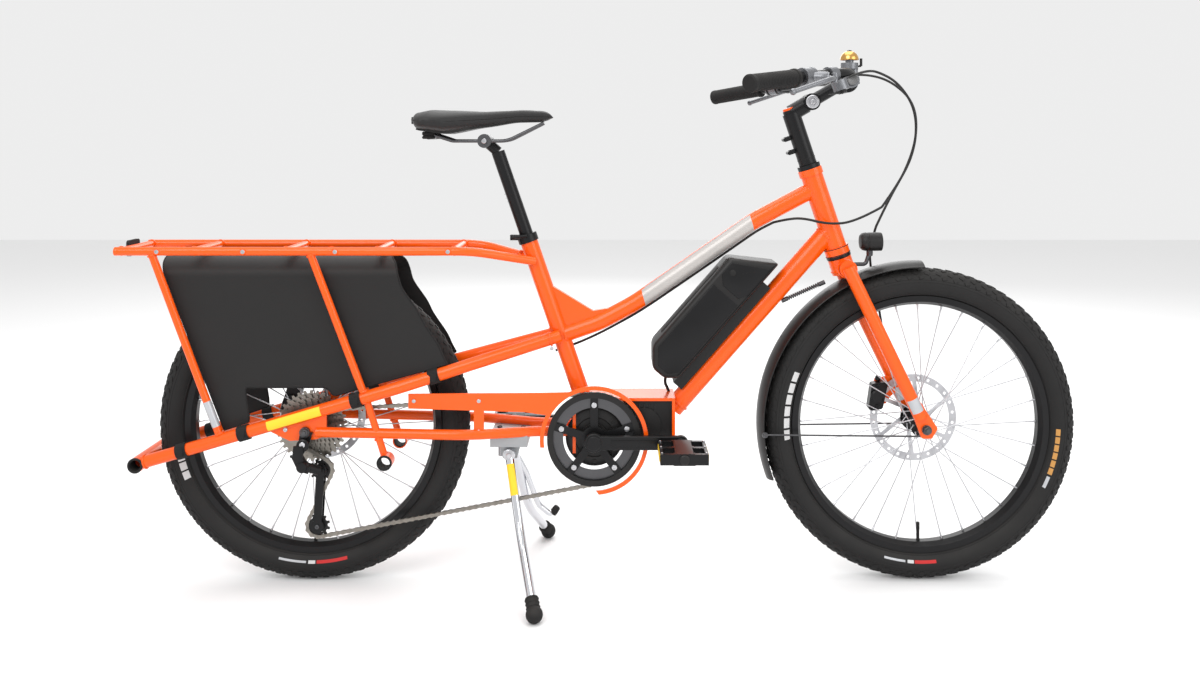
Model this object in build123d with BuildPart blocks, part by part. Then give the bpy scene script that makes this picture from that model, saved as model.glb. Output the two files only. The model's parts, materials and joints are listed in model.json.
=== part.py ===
"""Electric longtail cargo bicycle, in millimetres.

+X is forward, +Z is up and the rider's right (the chain side) is -Y. The origin lies
on the ground, midway between the wheels' outer ends and on the middle plane.
"""

import os
from math import acos, atan2, cos, hypot, pi, radians, sin

from build123d import *

os.makedirs("parts", exist_ok=True)

# Wheels
tyre_radius = 314
tyre_section = 31
rim_outer = 258.5
rim_inner = 240
rim_half_width = 19.5
spoke_radius = 1.1
spokes_per_side = 16
front_axle_x = 641
rear_axle_x = -581
rotor_radius = 89
rotor_thickness = 2

# Frame tubes: outside radii and wall
head_radius = 22
head_wall = 3.5
top_radius = 17
down_radius = 20
seat_radius = 17.5
stay_radius = 12.5
chain_stay_radius = 10
rail_radius = 8.5
strut_radius = 7.5
lower_strut_radius = 7
side_tube_radius = 15
liner_wall = 1.6
tube_wall = 1.6

# Frame points, as (x, z) on the middle plane
head_bottom = (479, 654)
head_top = (421, 828)
crank_axis = (-15, 294)
seat_top = (-148, 679)
top_tube_points = [(436, 790), (308, 722), (67, 555), (-5, 517), (-83, 490)]
down_tube_end = (144, 342)
rack_height = 668
rack_rear = -953
rack_bend_x = -255
half_track = 75
side_tube_rear = (-908, 252)
side_tube_front = (-423, 257)

# Motor and bracket
bracket_rear = -58
bracket_front = 146
bracket_top = 372
bracket_bottom = 296
bracket_half_width = 40
bracket_wall = 6

# Battery on the down tube
battery_length = 325
battery_height = 83
battery_half_width = 43
battery_gap = 18
battery_start = 38

# Steering parts
steerer_radius = 14.3
fork_leg_radius = 13
fork_leg_y = 54
handlebar_radius = 11.1
post_radius = 13.6
fit = 0.3

# Drive
chain_y = -49
chainring_radius = 86.5
guard_ring_radius = 93
guard_hoop_radius = 107
crank_length = 170
crank_inner_y = 72
crank_outer_y = 84
pedal_half_length = 45
pedal_inner_y = 96
pedal_outer_y = 188
cog_radii = [70, 62, 54.5, 47.5, 41, 35, 29.5, 24]
cog_first_y = -29
cog_pitch = 4
cog_thickness = 1.6
drive_cog = 5
chain_height = 6.5
guide_pulley = (-556, 232)
tension_pulley = (-562, 122)
pulley_radius = 19

# Stand
stand_pivot = (-185, 258)
stand_knee = (-157, 86, 112)
stand_foot = (-122, 205, 16)
stand_leg_radius = 9

# Fender
fender_radius = 328
fender_half_width = 33
fender_start = 89
fender_sweep = 111

front_axle = (front_axle_x, 0, tyre_radius)
rear_axle = (rear_axle_x, 0, tyre_radius)


def at(point, y=0):
    """A point of the side view, placed at distance y from the middle plane."""
    return (point[0], y, point[1])


def along(start, end, share):
    """The point that lies a share of the way from start to end."""
    return tuple(a + (b - a) * share for a, b in zip(start, end))


def bar(start, end, radius, bore=0, mode=Mode.ADD):
    """A straight round bar or tube, in the part that is being built."""
    axis = Vector(*end) - Vector(*start)
    with BuildSketch(Plane(origin=start, z_dir=axis)) as section:
        Circle(radius)
        if bore:
            Circle(bore, mode=Mode.SUBTRACT)
    extrude(section.sketch, amount=axis.length, mode=mode)


def pipe(points, bends, radius, bore=0, mode=Mode.ADD):
    """A round bar or tube that bends at each inner point by an arc."""
    with BuildLine() as route:
        FilletPolyline(*points, radius=bends)
    with BuildSketch(Plane(origin=route.line @ 0, z_dir=route.line % 0)) as section:
        Circle(radius)
        if bore:
            Circle(bore, mode=Mode.SUBTRACT)
    sweep(section.sketch, path=route.line, mode=mode)


def across(y):
    """The side-view plane at distance y, with x forward and z up."""
    return Plane(origin=(0, y, 0), x_dir=(1, 0, 0), z_dir=(0, -1, 0))


def plate(outline, y_low, y_high, corner=0, mode=Mode.ADD):
    """A flat plate with a side-view outline, from y_low to y_high."""
    with BuildSketch(across(y_high)) as section:
        with BuildLine():
            Polyline(*outline, close=True)
        make_face()
        if corner:
            fillet(section.vertices(), corner)
    extrude(section.sketch, amount=y_high - y_low, mode=mode)


def disc(centre, y_low, y_high, radius, bore=0, mode=Mode.ADD):
    """A round disc or ring whose axis runs across the bicycle."""
    with BuildSketch(across(y_high)) as section:
        with Locations(centre):
            Circle(radius)
            if bore:
                Circle(bore, mode=Mode.SUBTRACT)
    extrude(section.sketch, amount=y_high - y_low, mode=mode)


def block(x, y, z, mode=Mode.ADD):
    """A box between two values on each axis."""
    with Locations(((x[0] + x[1]) / 2, (y[0] + y[1]) / 2, (z[0] + z[1]) / 2)):
        Box(x[1] - x[0], y[1] - y[0], z[1] - z[0], mode=mode)


def save(part, name):
    """Label a finished piece and write it."""
    part.label = name
    export_step(part, f"parts/{name}.step")


def save_group(parts, name):
    """Write several separate solids as one named piece."""
    group = Compound(label=name, children=parts)
    export_step(group, f"parts/{name}.step")


def on_steering(distance, forward=0, y=0):
    """A point along the steering axis, measured up from the head tube's bottom."""
    rise = hypot(head_top[0] - head_bottom[0], head_top[1] - head_bottom[1])
    ux = (head_top[0] - head_bottom[0]) / rise
    uz = (head_top[1] - head_bottom[1]) / rise
    return (head_bottom[0] + ux * distance + uz * forward, y, head_bottom[1] + uz * distance - ux * forward)


head_length = hypot(head_top[0] - head_bottom[0], head_top[1] - head_bottom[1])


def on_seat(height):
    """The x of the seat tube's axis at a height."""
    share = (height - crank_axis[1]) / (seat_top[1] - crank_axis[1])
    return crank_axis[0] + (seat_top[0] - crank_axis[0]) * share


def stay_height(x):
    """The height of the upper stays' axis at x."""
    slope = (493 - side_tube_rear[1]) / (-83 - side_tube_rear[0])
    return side_tube_rear[1] + (x - side_tube_rear[0]) * slope


# Places where tubes meet
stay_end = (on_seat(493), 493)
strut_rear_top = (-883, rack_height)
strut_rear_foot = (-745, stay_height(-745))
strut_front_top = (-572, rack_height)
strut_front_foot = (-463, stay_height(-463))
rack_front = (on_seat(642), 642)
dropout_y = 66
dropout_thickness = 6


def stay_route(side):
    """An upper stay's axis on one side: straight along the wheel, then in to the seat tube."""
    bend = (-400, stay_height(-400))
    return [at(side_tube_rear, side * half_track), at(bend, side * half_track), at(stay_end, side * 24)]


def chain_stay_route(side):
    """A chain stay's axis on one side: past the tyre, then in behind the chainring."""
    return [
        (-560, side * 70, 313),
        (-262, side * 68, 306),
        (-132, side * 33, 304),
        (bracket_rear, side * 29, 303),
    ]


def rail_route(side):
    """A rack rail's axis on one side: level, then down and in to the seat tube."""
    return [
        (rack_rear, side * half_track, rack_height),
        (rack_bend_x, side * half_track, rack_height),
        at(rack_front, side * 20),
    ]


# ---------------------------------------------------------------- frame

with BuildPart() as head_tube:
    bar(at(head_bottom), at(head_top), head_radius)
    bar(at(head_bottom), on_steering(16), head_radius + 3)
    bar(on_steering(head_length - 14), at(head_top), head_radius + 2.5)
    bar(on_steering(-1), on_steering(head_length + 1), head_radius - head_wall, mode=Mode.SUBTRACT)
save(head_tube.part, "head_tube")

with BuildPart() as seat_tube:
    bar((on_seat(bracket_top - 20), 0, bracket_top - 20), at(seat_top), seat_radius)
    bar((on_seat(300), 0, 300), (on_seat(700), 0, 700), post_radius + fit, mode=Mode.SUBTRACT)
    block((-200, 100), (-60, 60), (bracket_top - 80, bracket_top), mode=Mode.SUBTRACT)

with BuildPart() as top_tube:
    pipe([at(p) for p in top_tube_points], [260, 420, 200], top_radius, top_radius - tube_wall)
    bar(on_steering(-20), on_steering(head_length + 20), head_radius, mode=Mode.SUBTRACT)
    bar((on_seat(400), 0, 400), (on_seat(600), 0, 600), seat_radius, mode=Mode.SUBTRACT)
save(top_tube.part, "top_tube")

with BuildPart() as down_tube:
    bar((463, 0, 705), at(down_tube_end), down_radius, down_radius - tube_wall)
    bar(on_steering(-20), on_steering(head_length + 20), head_radius, mode=Mode.SUBTRACT)
    bar(on_steering(-20), on_steering(16), head_radius + 3, mode=Mode.SUBTRACT)
    block((bracket_rear, bracket_front), (-60, 60), (200, bracket_top + 20), mode=Mode.SUBTRACT)
save(down_tube.part, "down_tube")

with BuildPart() as seat_gusset:
    plate([(on_seat(603), 603), (on_seat(500), 500), (60, 553), (-18, 540)], -7, 7)
    bar((on_seat(400), 0, 400), (on_seat(700), 0, 700), seat_radius, mode=Mode.SUBTRACT)
    pipe([at(p) for p in top_tube_points], [260, 420, 200], top_radius, mode=Mode.SUBTRACT)
    under_tube = [(-200, 400), (on_seat(490), 490), (200, 586), (200, 400)]
    plate(under_tube, -20, 20, mode=Mode.SUBTRACT)
save_group([seat_tube.part, seat_gusset.part], "seat_tube")

with BuildPart() as side_tubes:
    bar(at(side_tube_rear, 87), at(side_tube_rear, -87), side_tube_radius, side_tube_radius - 2.5)
    for side in (-1, 1):
        stub = at(side_tube_front, side * 60), at(side_tube_front, side * 87)
        bar(*stub, side_tube_radius, side_tube_radius - 2.5)

liner_radius = side_tube_radius - 2.5
with BuildPart() as tube_liners:
    for centre in (side_tube_rear, side_tube_front):
        for side in (-1, 1):
            bar(at(centre, side * 62), at(centre, side * 87), liner_radius, liner_radius - liner_wall)
            bar(at(centre, side * 87), at(centre, side * 89), side_tube_radius, liner_radius - liner_wall)

with BuildPart() as upper_stays:
    for side in (-1, 1):
        pipe(stay_route(side), [400], stay_radius, stay_radius - tube_wall)
    bar(at(side_tube_rear, 100), at(side_tube_rear, -100), side_tube_radius, mode=Mode.SUBTRACT)
    bar((on_seat(400), 0, 400), (on_seat(600), 0, 600), seat_radius, mode=Mode.SUBTRACT)
    pipe([at(p) for p in top_tube_points], [260, 420, 200], top_radius, mode=Mode.SUBTRACT)

with BuildPart() as dropouts:
    for side in (-1, 1):
        edges = sorted((side * dropout_y, side * (dropout_y + dropout_thickness)))
        plate(
            [(-650, 326), (-650, 314), (-612, 296), (-560, 299), (-540, 306), (-540, 352), (-646, 328)],
            edges[0],
            edges[1],
        )
        disc((rear_axle_x, tyre_radius), edges[0] - 1, edges[1] + 1, 5.3, mode=Mode.SUBTRACT)
        pipe(stay_route(side), [400], stay_radius, mode=Mode.SUBTRACT)

with BuildPart() as chain_stays:
    for side in (-1, 1):
        pipe(chain_stay_route(side), [300, 120], chain_stay_radius, chain_stay_radius - tube_wall)
    add(dropouts.part, mode=Mode.SUBTRACT)
    block((bracket_rear, 0), (-60, 60), (250, bracket_top), mode=Mode.SUBTRACT)
save_group([upper_stays.part, chain_stays.part], "rear_stays")

with BuildPart() as rack_rails:
    for side in (-1, 1):
        pipe(rail_route(side), [140], rail_radius, rail_radius - tube_wall)
    bar((on_seat(600), 0, 600), (on_seat(700), 0, 700), seat_radius, mode=Mode.SUBTRACT)

crossbar_places = [-944, -800, -620, -440, -290]
with BuildPart() as rack_crossbars:
    for x in crossbar_places:
        bar((x, -half_track, rack_height), (x, half_track, rack_height), rail_radius - 1, rail_radius - 3)
    for side in (-1, 1):
        bar(
            (rack_rear - 20, side * half_track, rack_height),
            (rack_bend_x, side * half_track, rack_height),
            rail_radius,
            mode=Mode.SUBTRACT,
        )
save_group([rack_rails.part, rack_crossbars.part], "rack")

with BuildPart() as rack_struts:
    for side in (-1, 1):
        y = side * half_track
        bar(at(strut_rear_top, y), at(strut_rear_foot, y), strut_radius)
        bar(at(strut_front_top, y), at(strut_front_foot, y), strut_radius)
        bar((rack_rear, y, rack_height), (rack_bend_x, y, rack_height), rail_radius, mode=Mode.SUBTRACT)
        pipe(stay_route(side), [400], stay_radius, mode=Mode.SUBTRACT)

with BuildPart() as lower_struts:
    for side in (-1, 1):
        bar(at(strut_front_foot, side * 71), at(side_tube_front, side * 71), lower_strut_radius)
        pipe(stay_route(side), [400], stay_radius, mode=Mode.SUBTRACT)
        pipe(chain_stay_route(side), [300, 120], chain_stay_radius, mode=Mode.SUBTRACT)
    bar(at(side_tube_front, 100), at(side_tube_front, -100), side_tube_radius, mode=Mode.SUBTRACT)
save_group([rack_struts.part, lower_struts.part], "rack_struts")

with BuildPart() as motor_bracket:
    half = bracket_half_width
    wall = bracket_wall
    block((bracket_rear, bracket_front), (-half, half), (bracket_top - wall, bracket_top))
    block((bracket_front - wall, bracket_front), (-half, half), (bracket_bottom, bracket_top - wall))
    block((bracket_rear, bracket_rear + wall), (-half, half), (262, bracket_top - wall))
save_group([motor_bracket.part, dropouts.part, side_tubes.part], "frame_brackets")

guard_y = -62
with BuildPart() as chain_guard:
    outline = [(-381, 357), (-381, 386), (-120, 388), (-20, 390), (-20, 310), (-110, 344), (-150, 350)]
    plate(outline, guard_y - 1.5, guard_y + 1.5)
    disc(crank_axis, guard_y - 1.5, guard_y + 1.5, guard_hoop_radius)
    disc(crank_axis, guard_y - 2, guard_y + 2, guard_hoop_radius - 8, mode=Mode.SUBTRACT)
    plate([(-180, 280), (-75, 280), (0, 180), (-180, 180)], guard_y - 2, guard_y + 2, mode=Mode.SUBTRACT)
    plate([(-252, 304), (-232, 304), (-232, 362), (-252, 362)], guard_y - 1.5, guard_y + 1.5)
    pipe(chain_stay_route(-1), [300, 120], chain_stay_radius, mode=Mode.SUBTRACT)
save(chain_guard.part, "chain_guard")

# ---------------------------------------------------------------- motor and battery

with BuildPart() as motor_unit:
    disc(crank_axis, -36, 36, 58)
    block((-15, bracket_front - wall), (-34, 34), (bracket_bottom - 6, bracket_top - wall))
    block((bracket_rear + wall, 30), (-34, 34), (300, bracket_top - wall))
    disc((84, 318), -37, 37, 34)
    block((bracket_rear - 20, bracket_rear + wall), (-60, 60), (200, 400), mode=Mode.SUBTRACT)
    block((bracket_front - wall, bracket_front + 20), (-60, 60), (200, 400), mode=Mode.SUBTRACT)
    block((bracket_rear, bracket_front), (-60, 60), (bracket_top - wall, 400), mode=Mode.SUBTRACT)
    disc(crank_axis, -60, 60, 12.3, mode=Mode.SUBTRACT)
save(motor_unit.part, "motor_unit")

tube_start = (463, 705)
tube_run = hypot(tube_start[0] - down_tube_end[0], tube_start[1] - down_tube_end[1])
tube_dir = ((tube_start[0] - down_tube_end[0]) / tube_run, (tube_start[1] - down_tube_end[1]) / tube_run)


def over_tube(distance, height):
    """A point above the down tube's axis, measured up the tube and square to it."""
    x = down_tube_end[0] + tube_dir[0] * distance - tube_dir[1] * height
    z = down_tube_end[1] + tube_dir[1] * distance + tube_dir[0] * height
    return (x, z)


mount_low = down_radius - 4
mount_high = down_radius + battery_gap
battery_end = battery_start + battery_length
with BuildPart() as battery_mount:
    plate(
        [
            over_tube(battery_start + 4, mount_low),
            over_tube(battery_end - 50, mount_low),
            over_tube(battery_end - 50, mount_high - fit),
            over_tube(battery_start + 4, mount_high - fit),
        ],
        -20,
        20,
    )
    bar((463, 0, 705), at(down_tube_end), down_radius, mode=Mode.SUBTRACT)
save(battery_mount.part, "battery_mount")

with BuildPart() as battery_case:
    plate(
        [
            over_tube(battery_start + 20, mount_high),
            over_tube(battery_end, mount_high),
            over_tube(battery_end - 58, mount_high + battery_height),
            over_tube(battery_start + 34, mount_high + battery_height),
            over_tube(battery_start, mount_high + battery_height - 30),
            over_tube(battery_start, mount_high + 22),
        ],
        -battery_half_width,
        battery_half_width,
        corner=7,
    )
save(battery_case.part, "battery_case")

# ---------------------------------------------------------------- wheels


def wheel_section(axle, angle=0):
    """A plane through a wheel's axis, with x pointing out from it and y across."""
    out = (cos(radians(angle)), 0, sin(radians(angle)))
    return Plane(origin=axle, x_dir=out, z_dir=(-out[2], 0, out[0]))


def ring(axle, points, mode=Mode.ADD):
    """A full ring turned about a wheel's axle from (radius, y) points."""
    with BuildSketch(wheel_section(axle)) as section:
        with BuildLine():
            Polyline(*points, close=True)
        make_face()
    revolve(section.sketch, axis=Axis(axle, (0, -1, 0)), mode=mode)


def tyre(axle):
    """An open-bottomed tyre casing that sits on the rim's edges."""
    with BuildSketch(wheel_section(axle)) as section:
        with Locations((tyre_radius - tyre_section, 0)):
            Circle(tyre_section)
        with Locations((tyre_radius - tyre_section - 2, 0)):
            Circle(tyre_section - 4, mode=Mode.SUBTRACT)
        with Locations((rim_outer - 50, 0)):
            Rectangle(100, 100, mode=Mode.SUBTRACT)
    revolve(section.sketch, axis=Axis(axle, (0, -1, 0)))


def rim(axle):
    """A trough-shaped rim with a valve at the bottom of the wheel."""
    edge = rim_half_width
    points = [(rim_outer, -edge), (rim_outer - 12, -edge), (rim_inner, -8), (rim_inner, 8)]
    points += [(rim_outer - 12, edge), (rim_outer, edge), (rim_outer, edge - 4)]
    points += [(rim_inner + 10, 10), (rim_inner + 10, -10)]
    points += [(rim_outer, -edge + 4)]
    ring(axle, points)
    foot = (axle[0], 0, axle[2] - rim_inner - 6)
    bar(foot, (axle[0], 0, axle[2] - rim_inner + 34), 2.8)


def spokes(axle, flanges, flange_radius):
    """Crossed spokes from the two hub flanges to the rim."""
    for flange_y in flanges:
        for number in range(spokes_per_side):
            turn = 360 / spokes_per_side
            phase = 0 if flange_y > 0 else turn / 2
            lean = 62 if number % 2 else -62
            rim_angle = radians(number * turn + phase)
            hub_angle = rim_angle + radians(lean)
            side = 1 if flange_y > 0 else -1
            hub_y = flange_y + (2.6 if number % 2 else -2.6)
            start = (
                axle[0] + (flange_radius - 4) * cos(hub_angle),
                hub_y,
                axle[2] + (flange_radius - 4) * sin(hub_angle),
            )
            end = (
                axle[0] + (rim_inner - 0.2) * cos(rim_angle),
                side * 4,
                axle[2] + (rim_inner - 0.2) * sin(rim_angle),
            )
            bar(start, end, spoke_radius)


def rotor(axle, y, carrier):
    """A brake disc: a drilled outer band on six curved arms and a centre ring."""
    low, high = y - rotor_thickness / 2, y + rotor_thickness / 2
    centre = (axle[0], axle[2])
    disc(centre, low, high, rotor_radius, rotor_radius - 15)
    disc(centre, low, high, carrier + 10, carrier)
    for arm in range(6):
        angle = radians(60 * arm)
        inner = (centre[0] + (carrier + 6) * cos(angle), centre[1] + (carrier + 6) * sin(angle))
        reach = rotor_radius - 12
        outer = (centre[0] + reach * cos(angle + 0.5), centre[1] + reach * sin(angle + 0.5))
        with BuildSketch(across(high)) as section:
            with BuildLine() as edge:
                Line(inner, outer)
            trace(edge.line, line_width=8)
        extrude(section.sketch, amount=rotor_thickness)
    for hole in range(24):
        angle = radians(15 * hole + 7.5)
        ring_radius = rotor_radius - 7.5
        drilled = (centre[0] + ring_radius * cos(angle), centre[1] + ring_radius * sin(angle))
        disc(drilled, low - 1, high + 1, 3, mode=Mode.SUBTRACT)


with BuildPart() as front_tyre:
    tyre(front_axle)
save(front_tyre.part, "front_tyre")

with BuildPart() as rear_tyre:
    tyre(rear_axle)
save(rear_tyre.part, "rear_tyre")

with BuildPart() as front_rim:
    rim(front_axle)
save(front_rim.part, "front_rim")

with BuildPart() as rear_rim:
    rim(rear_axle)
save(rear_rim.part, "rear_rim")

front_flanges = (22, -30)
rear_flanges = (32, -20)
front_rotor_y = 35
rear_rotor_y = 52
front_shell_radius = 15
rear_shell_radius = 17
front_flange_radius = 23
rear_flange_radius = 26


def hub(axle, flanges, flange_radius, shell_radius, low, high):
    """A hub shell with two flanges and a hollow for its axle."""
    centre = (axle[0], axle[2])
    disc(centre, low, high, shell_radius)
    for y in flanges:
        disc(centre, y - 1.5, y + 1.5, flange_radius)
    disc(centre, low - 1, high + 1, 5.3, mode=Mode.SUBTRACT)


with BuildPart() as front_hub:
    hub(front_axle, front_flanges, front_flange_radius, front_shell_radius, -46, 46)
    disc((front_axle_x, tyre_radius), front_rotor_y - 1, front_rotor_y + 1, 30, 5, mode=Mode.SUBTRACT)
    disc((front_axle_x, tyre_radius), front_rotor_y - 2, front_rotor_y + 2, front_shell_radius, 5.3)

with BuildPart() as rear_hub:
    hub(rear_axle, rear_flanges, rear_flange_radius, rear_shell_radius, -26, 62)
    disc((rear_axle_x, tyre_radius), -63, -26, 12, 5.3)

with BuildPart() as front_spokes:
    spokes(front_axle, front_flanges, front_flange_radius)
    add(front_hub.part, mode=Mode.SUBTRACT)
save(front_spokes.part, "front_spokes")

with BuildPart() as rear_spokes:
    spokes(rear_axle, rear_flanges, rear_flange_radius)
    add(rear_hub.part, mode=Mode.SUBTRACT)
save(rear_spokes.part, "rear_spokes")

with BuildPart() as front_rotor:
    rotor(front_axle, front_rotor_y, front_shell_radius + fit)
save_group([front_hub.part, front_rotor.part], "front_hub")

with BuildPart() as rear_rotor:
    rotor(rear_axle, rear_rotor_y, rear_shell_radius + fit)
save_group([rear_hub.part, rear_rotor.part], "rear_hub")

with BuildPart() as rear_axle_bolt:
    disc((rear_axle_x, tyre_radius), -82, 82, 5)
    for side in (-1, 1):
        edges = sorted((side * 72.3, side * 80))
        disc((rear_axle_x, tyre_radius), edges[0], edges[1], 10, 5)
save(rear_axle_bolt.part, "rear_axle")

with BuildPart() as front_axle_bolt:
    disc((front_axle_x, tyre_radius), -66, 66, 5)
    for side in (-1, 1):
        edges = sorted((side * 58.3, side * 65))
        disc((front_axle_x, tyre_radius), edges[0], edges[1], 9, 5)

# ---------------------------------------------------------------- steering

crown_low = -38
caliper_mount_y = 43
leg_top = (487, 634)
with BuildPart() as fork:
    bar(on_steering(-6), on_steering(head_length + 130), steerer_radius)
    bar(on_steering(crown_low), on_steering(-7), head_radius + 2)
    for side in (-1, 1):
        bar((492, 0, 628), (489, side * fork_leg_y, 630), 17)
        bar(at(leg_top, side * fork_leg_y), (631, side * 54, 336), fork_leg_radius)
        edges = sorted((side * 51, side * 58))
        dropout = [(612, 350), (632, 296), (652, 296), (664, 316), (640, 352), (628, 372)]
        plate(dropout, edges[0], edges[1], corner=5)
        disc((front_axle_x, tyre_radius), edges[0] - 9, edges[1] + 9, 5.3, mode=Mode.SUBTRACT)
    plate([(556, 336), (564, 392), (610, 400), (622, 345)], caliper_mount_y, caliper_mount_y + 6)
    disc((front_axle_x, tyre_radius), -50, 50, 60, mode=Mode.SUBTRACT)
    disc((front_axle_x, tyre_radius), -66.3, -58, 15, mode=Mode.SUBTRACT)
    disc((front_axle_x, tyre_radius), 58, 66.3, 15, mode=Mode.SUBTRACT)
    disc((front_axle_x, tyre_radius), -36, 36, fender_radius + 1, mode=Mode.SUBTRACT)
save(fork.part, "fork")

with BuildPart() as headset_cups:
    bar(on_steering(-5.5), on_steering(0), head_radius + 3, steerer_radius + fit)
    bar(on_steering(head_length), on_steering(head_length + 9), head_radius + 1, steerer_radius + fit)

with BuildPart() as front_fender:
    with BuildSketch(wheel_section(front_axle, fender_start)) as section:
        with BuildLine():
            ThreePointArc((318, -fender_half_width), (fender_radius, 0), (318, fender_half_width))
            Line((318, fender_half_width), (316, fender_half_width - 1))
            inner_edge = fender_half_width - 1
            ThreePointArc((316, inner_edge), (fender_radius - 2.2, 0), (316, -inner_edge))
            Line((316, -fender_half_width + 1), (318, -fender_half_width))
        make_face()
    revolve(section.sketch, axis=Axis(front_axle, (0, -1, 0)), revolution_arc=fender_sweep)
save(front_fender.part, "front_fender")

stay_angle = radians(183)
with BuildPart() as fender_stays:
    for side in (-1, 1):
        foot = (front_axle_x + 316 * cos(stay_angle), side * 35.4, tyre_radius + 316 * sin(stay_angle))
        head = (front_axle_x - 14, side * 48.5, tyre_radius - 16)
        tip = (front_axle_x - 8, side * 50.2, tyre_radius - 12)
        pipe([foot, head, tip], [5], 1.8)
    add(fork.part, mode=Mode.SUBTRACT)
    for side in (-1, 1):
        edges = sorted((side * 33.4, side * 37.4))
        stay_foot = (front_axle_x + 316 * cos(stay_angle), tyre_radius + 316 * sin(stay_angle))
        disc(stay_foot, edges[0], edges[1], 4)

light_place = (543, 679)
light_radius = 19
light_wall = 2.5

with BuildPart() as head_light:
    axis_end = (light_place[0] + 24, 0, light_place[1] + 1)
    bar((light_place[0] - 20, 0, light_place[1] - 1), axis_end, light_radius)
    fillet(head_light.edges().sort_by(Axis.X)[0], 8)
    cup_start = (light_place[0] + 14, 0, light_place[1] + 1)
    cup_end = (light_place[0] + 30, 0, light_place[1] + 1)
    bar(cup_start, cup_end, light_radius - light_wall, mode=Mode.SUBTRACT)

with BuildPart() as light_lens:
    lens_start = (light_place[0] + 16, 0, light_place[1] + 1)
    lens_end = (light_place[0] + 23, 0, light_place[1] + 1)
    bar(lens_start, lens_end, light_radius - light_wall - 0.5)
save_group([head_light.part, light_lens.part], "head_light")

with BuildPart() as light_bracket:
    pipe([(500, 0, 634), (535, 0, 634), (543, 0, 660)], [8], 4)
    add(fork.part, mode=Mode.SUBTRACT)
    disc((front_axle_x, tyre_radius), -36, 36, fender_radius + 0.3, mode=Mode.SUBTRACT)
    add(head_light.part, mode=Mode.SUBTRACT)
save_group([front_axle_bolt.part, fender_stays.part, light_bracket.part], "fork_hardware")

caliper_angle = radians(150)
with BuildPart() as front_caliper:
    centre = (front_axle_x + 92 * cos(caliper_angle), tyre_radius + 92 * sin(caliper_angle))
    plate(
        [
            (centre[0] - 16, centre[1] - 30),
            (centre[0] + 14, centre[1] - 26),
            (centre[0] + 26, centre[1] + 30),
            (centre[0] - 8, centre[1] + 26),
        ],
        22,
        caliper_mount_y,
        corner=6,
    )
    front_centre = (front_axle_x, tyre_radius)
    disc(front_centre, front_rotor_y - 2, front_rotor_y + 2, rotor_radius + 2, mode=Mode.SUBTRACT)
    disc(front_centre, 20, 60, rotor_radius - 24, mode=Mode.SUBTRACT)
    add(fork.part, mode=Mode.SUBTRACT)
save(front_caliper.part, "front_caliper")

with BuildPart() as rear_caliper:
    plate([(-668, 322), (-640, 316), (-622, 372), (-650, 380)], 40, 66, corner=6)
    disc((rear_axle_x, tyre_radius), rear_rotor_y - 2, rear_rotor_y + 2, rotor_radius + 2, mode=Mode.SUBTRACT)
    disc((rear_axle_x, tyre_radius), 30, 70, rotor_radius - 44, mode=Mode.SUBTRACT)
    add(upper_stays.part, mode=Mode.SUBTRACT)
    add(dropouts.part, mode=Mode.SUBTRACT)
save(rear_caliper.part, "rear_caliper")

stem_low = head_length + 9.3
stem_high = head_length + 118
pivot_at = (423, 963)
bar_clamp = (493, 1004)
column_top = on_steering(stem_high)
with BuildPart() as stem_base:
    bar(on_steering(stem_low), column_top, 18, steerer_radius + fit)
    bar(column_top, at(pivot_at), 17)
    for side in (-1, 1):
        edges = sorted((side * 9, side * 20))
        disc(pivot_at, edges[0], edges[1], 17)
    disc(pivot_at, -9, 9, 19, mode=Mode.SUBTRACT)
    disc(pivot_at, -30, 30, 4.2, mode=Mode.SUBTRACT)
    bar(on_steering(stem_low - 2), on_steering(head_length + 131), steerer_radius + fit, mode=Mode.SUBTRACT)
    for distance in (34, 62):
        bar(on_steering(stem_low + distance, -30, -12), on_steering(stem_low + distance, -30, 12), 4)
        bar(on_steering(stem_low + distance, -17, 0), on_steering(stem_low + distance, -30, 0), 5)
save(stem_base.part, "stem_base")

with BuildPart() as stem_arm:
    disc(pivot_at, -8.6, 8.6, 17)
    disc(pivot_at, -24, 24, 4)
    disc(pivot_at, -25, -20.2, 9)
    disc(pivot_at, 20.2, 25, 9)
    bar(at(pivot_at), at(bar_clamp), 13)
    disc(bar_clamp, -22, 22, 22)
    disc(bar_clamp, -30, 30, 12.9, mode=Mode.SUBTRACT)
    disc(pivot_at, -19.8, -8.8, 19, 4, mode=Mode.SUBTRACT)
    disc(pivot_at, 8.8, 19.8, 19, 4, mode=Mode.SUBTRACT)
save(stem_arm.part, "stem_arm")

grip_inner = (358, 215, 1000)
grip_outer = (262, 312, 985)


def bar_route(side):
    """Half of the swept-back handlebar, from its middle to its end."""
    return [
        (bar_clamp[0], 0, bar_clamp[1]),
        (bar_clamp[0], side * 70, bar_clamp[1]),
        (bar_clamp[0] - 18, side * 125, bar_clamp[1] + 10),
        (grip_inner[0], side * grip_inner[1], grip_inner[2]),
        (grip_outer[0], side * grip_outer[1], grip_outer[2]),
    ]


bar_bends = [60, 80, 90]

with BuildPart() as handlebar:
    for side in (-1, 1):
        pipe(bar_route(side), bar_bends, handlebar_radius, 9)
    for side in (-1, 1):
        edges = sorted((0, side * 34))
        disc(bar_clamp, edges[0], edges[1], 12.7, 9)
save(handlebar.part, "handlebar")

with BuildPart() as grips:
    for side in (-1, 1):
        inner = (grip_inner[0], side * grip_inner[1], grip_inner[2])
        outer = (grip_outer[0], side * grip_outer[1], grip_outer[2])
        bar(along(inner, outer, 0.1), along(inner, outer, 1.02), 16, handlebar_radius)
        bar(along(inner, outer, 1.02), along(inner, outer, 1.05), 16)
        bar(along(inner, outer, 0.06), along(inner, outer, 0.1), 17.5, handlebar_radius)
save(grips.part, "grips")

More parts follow.
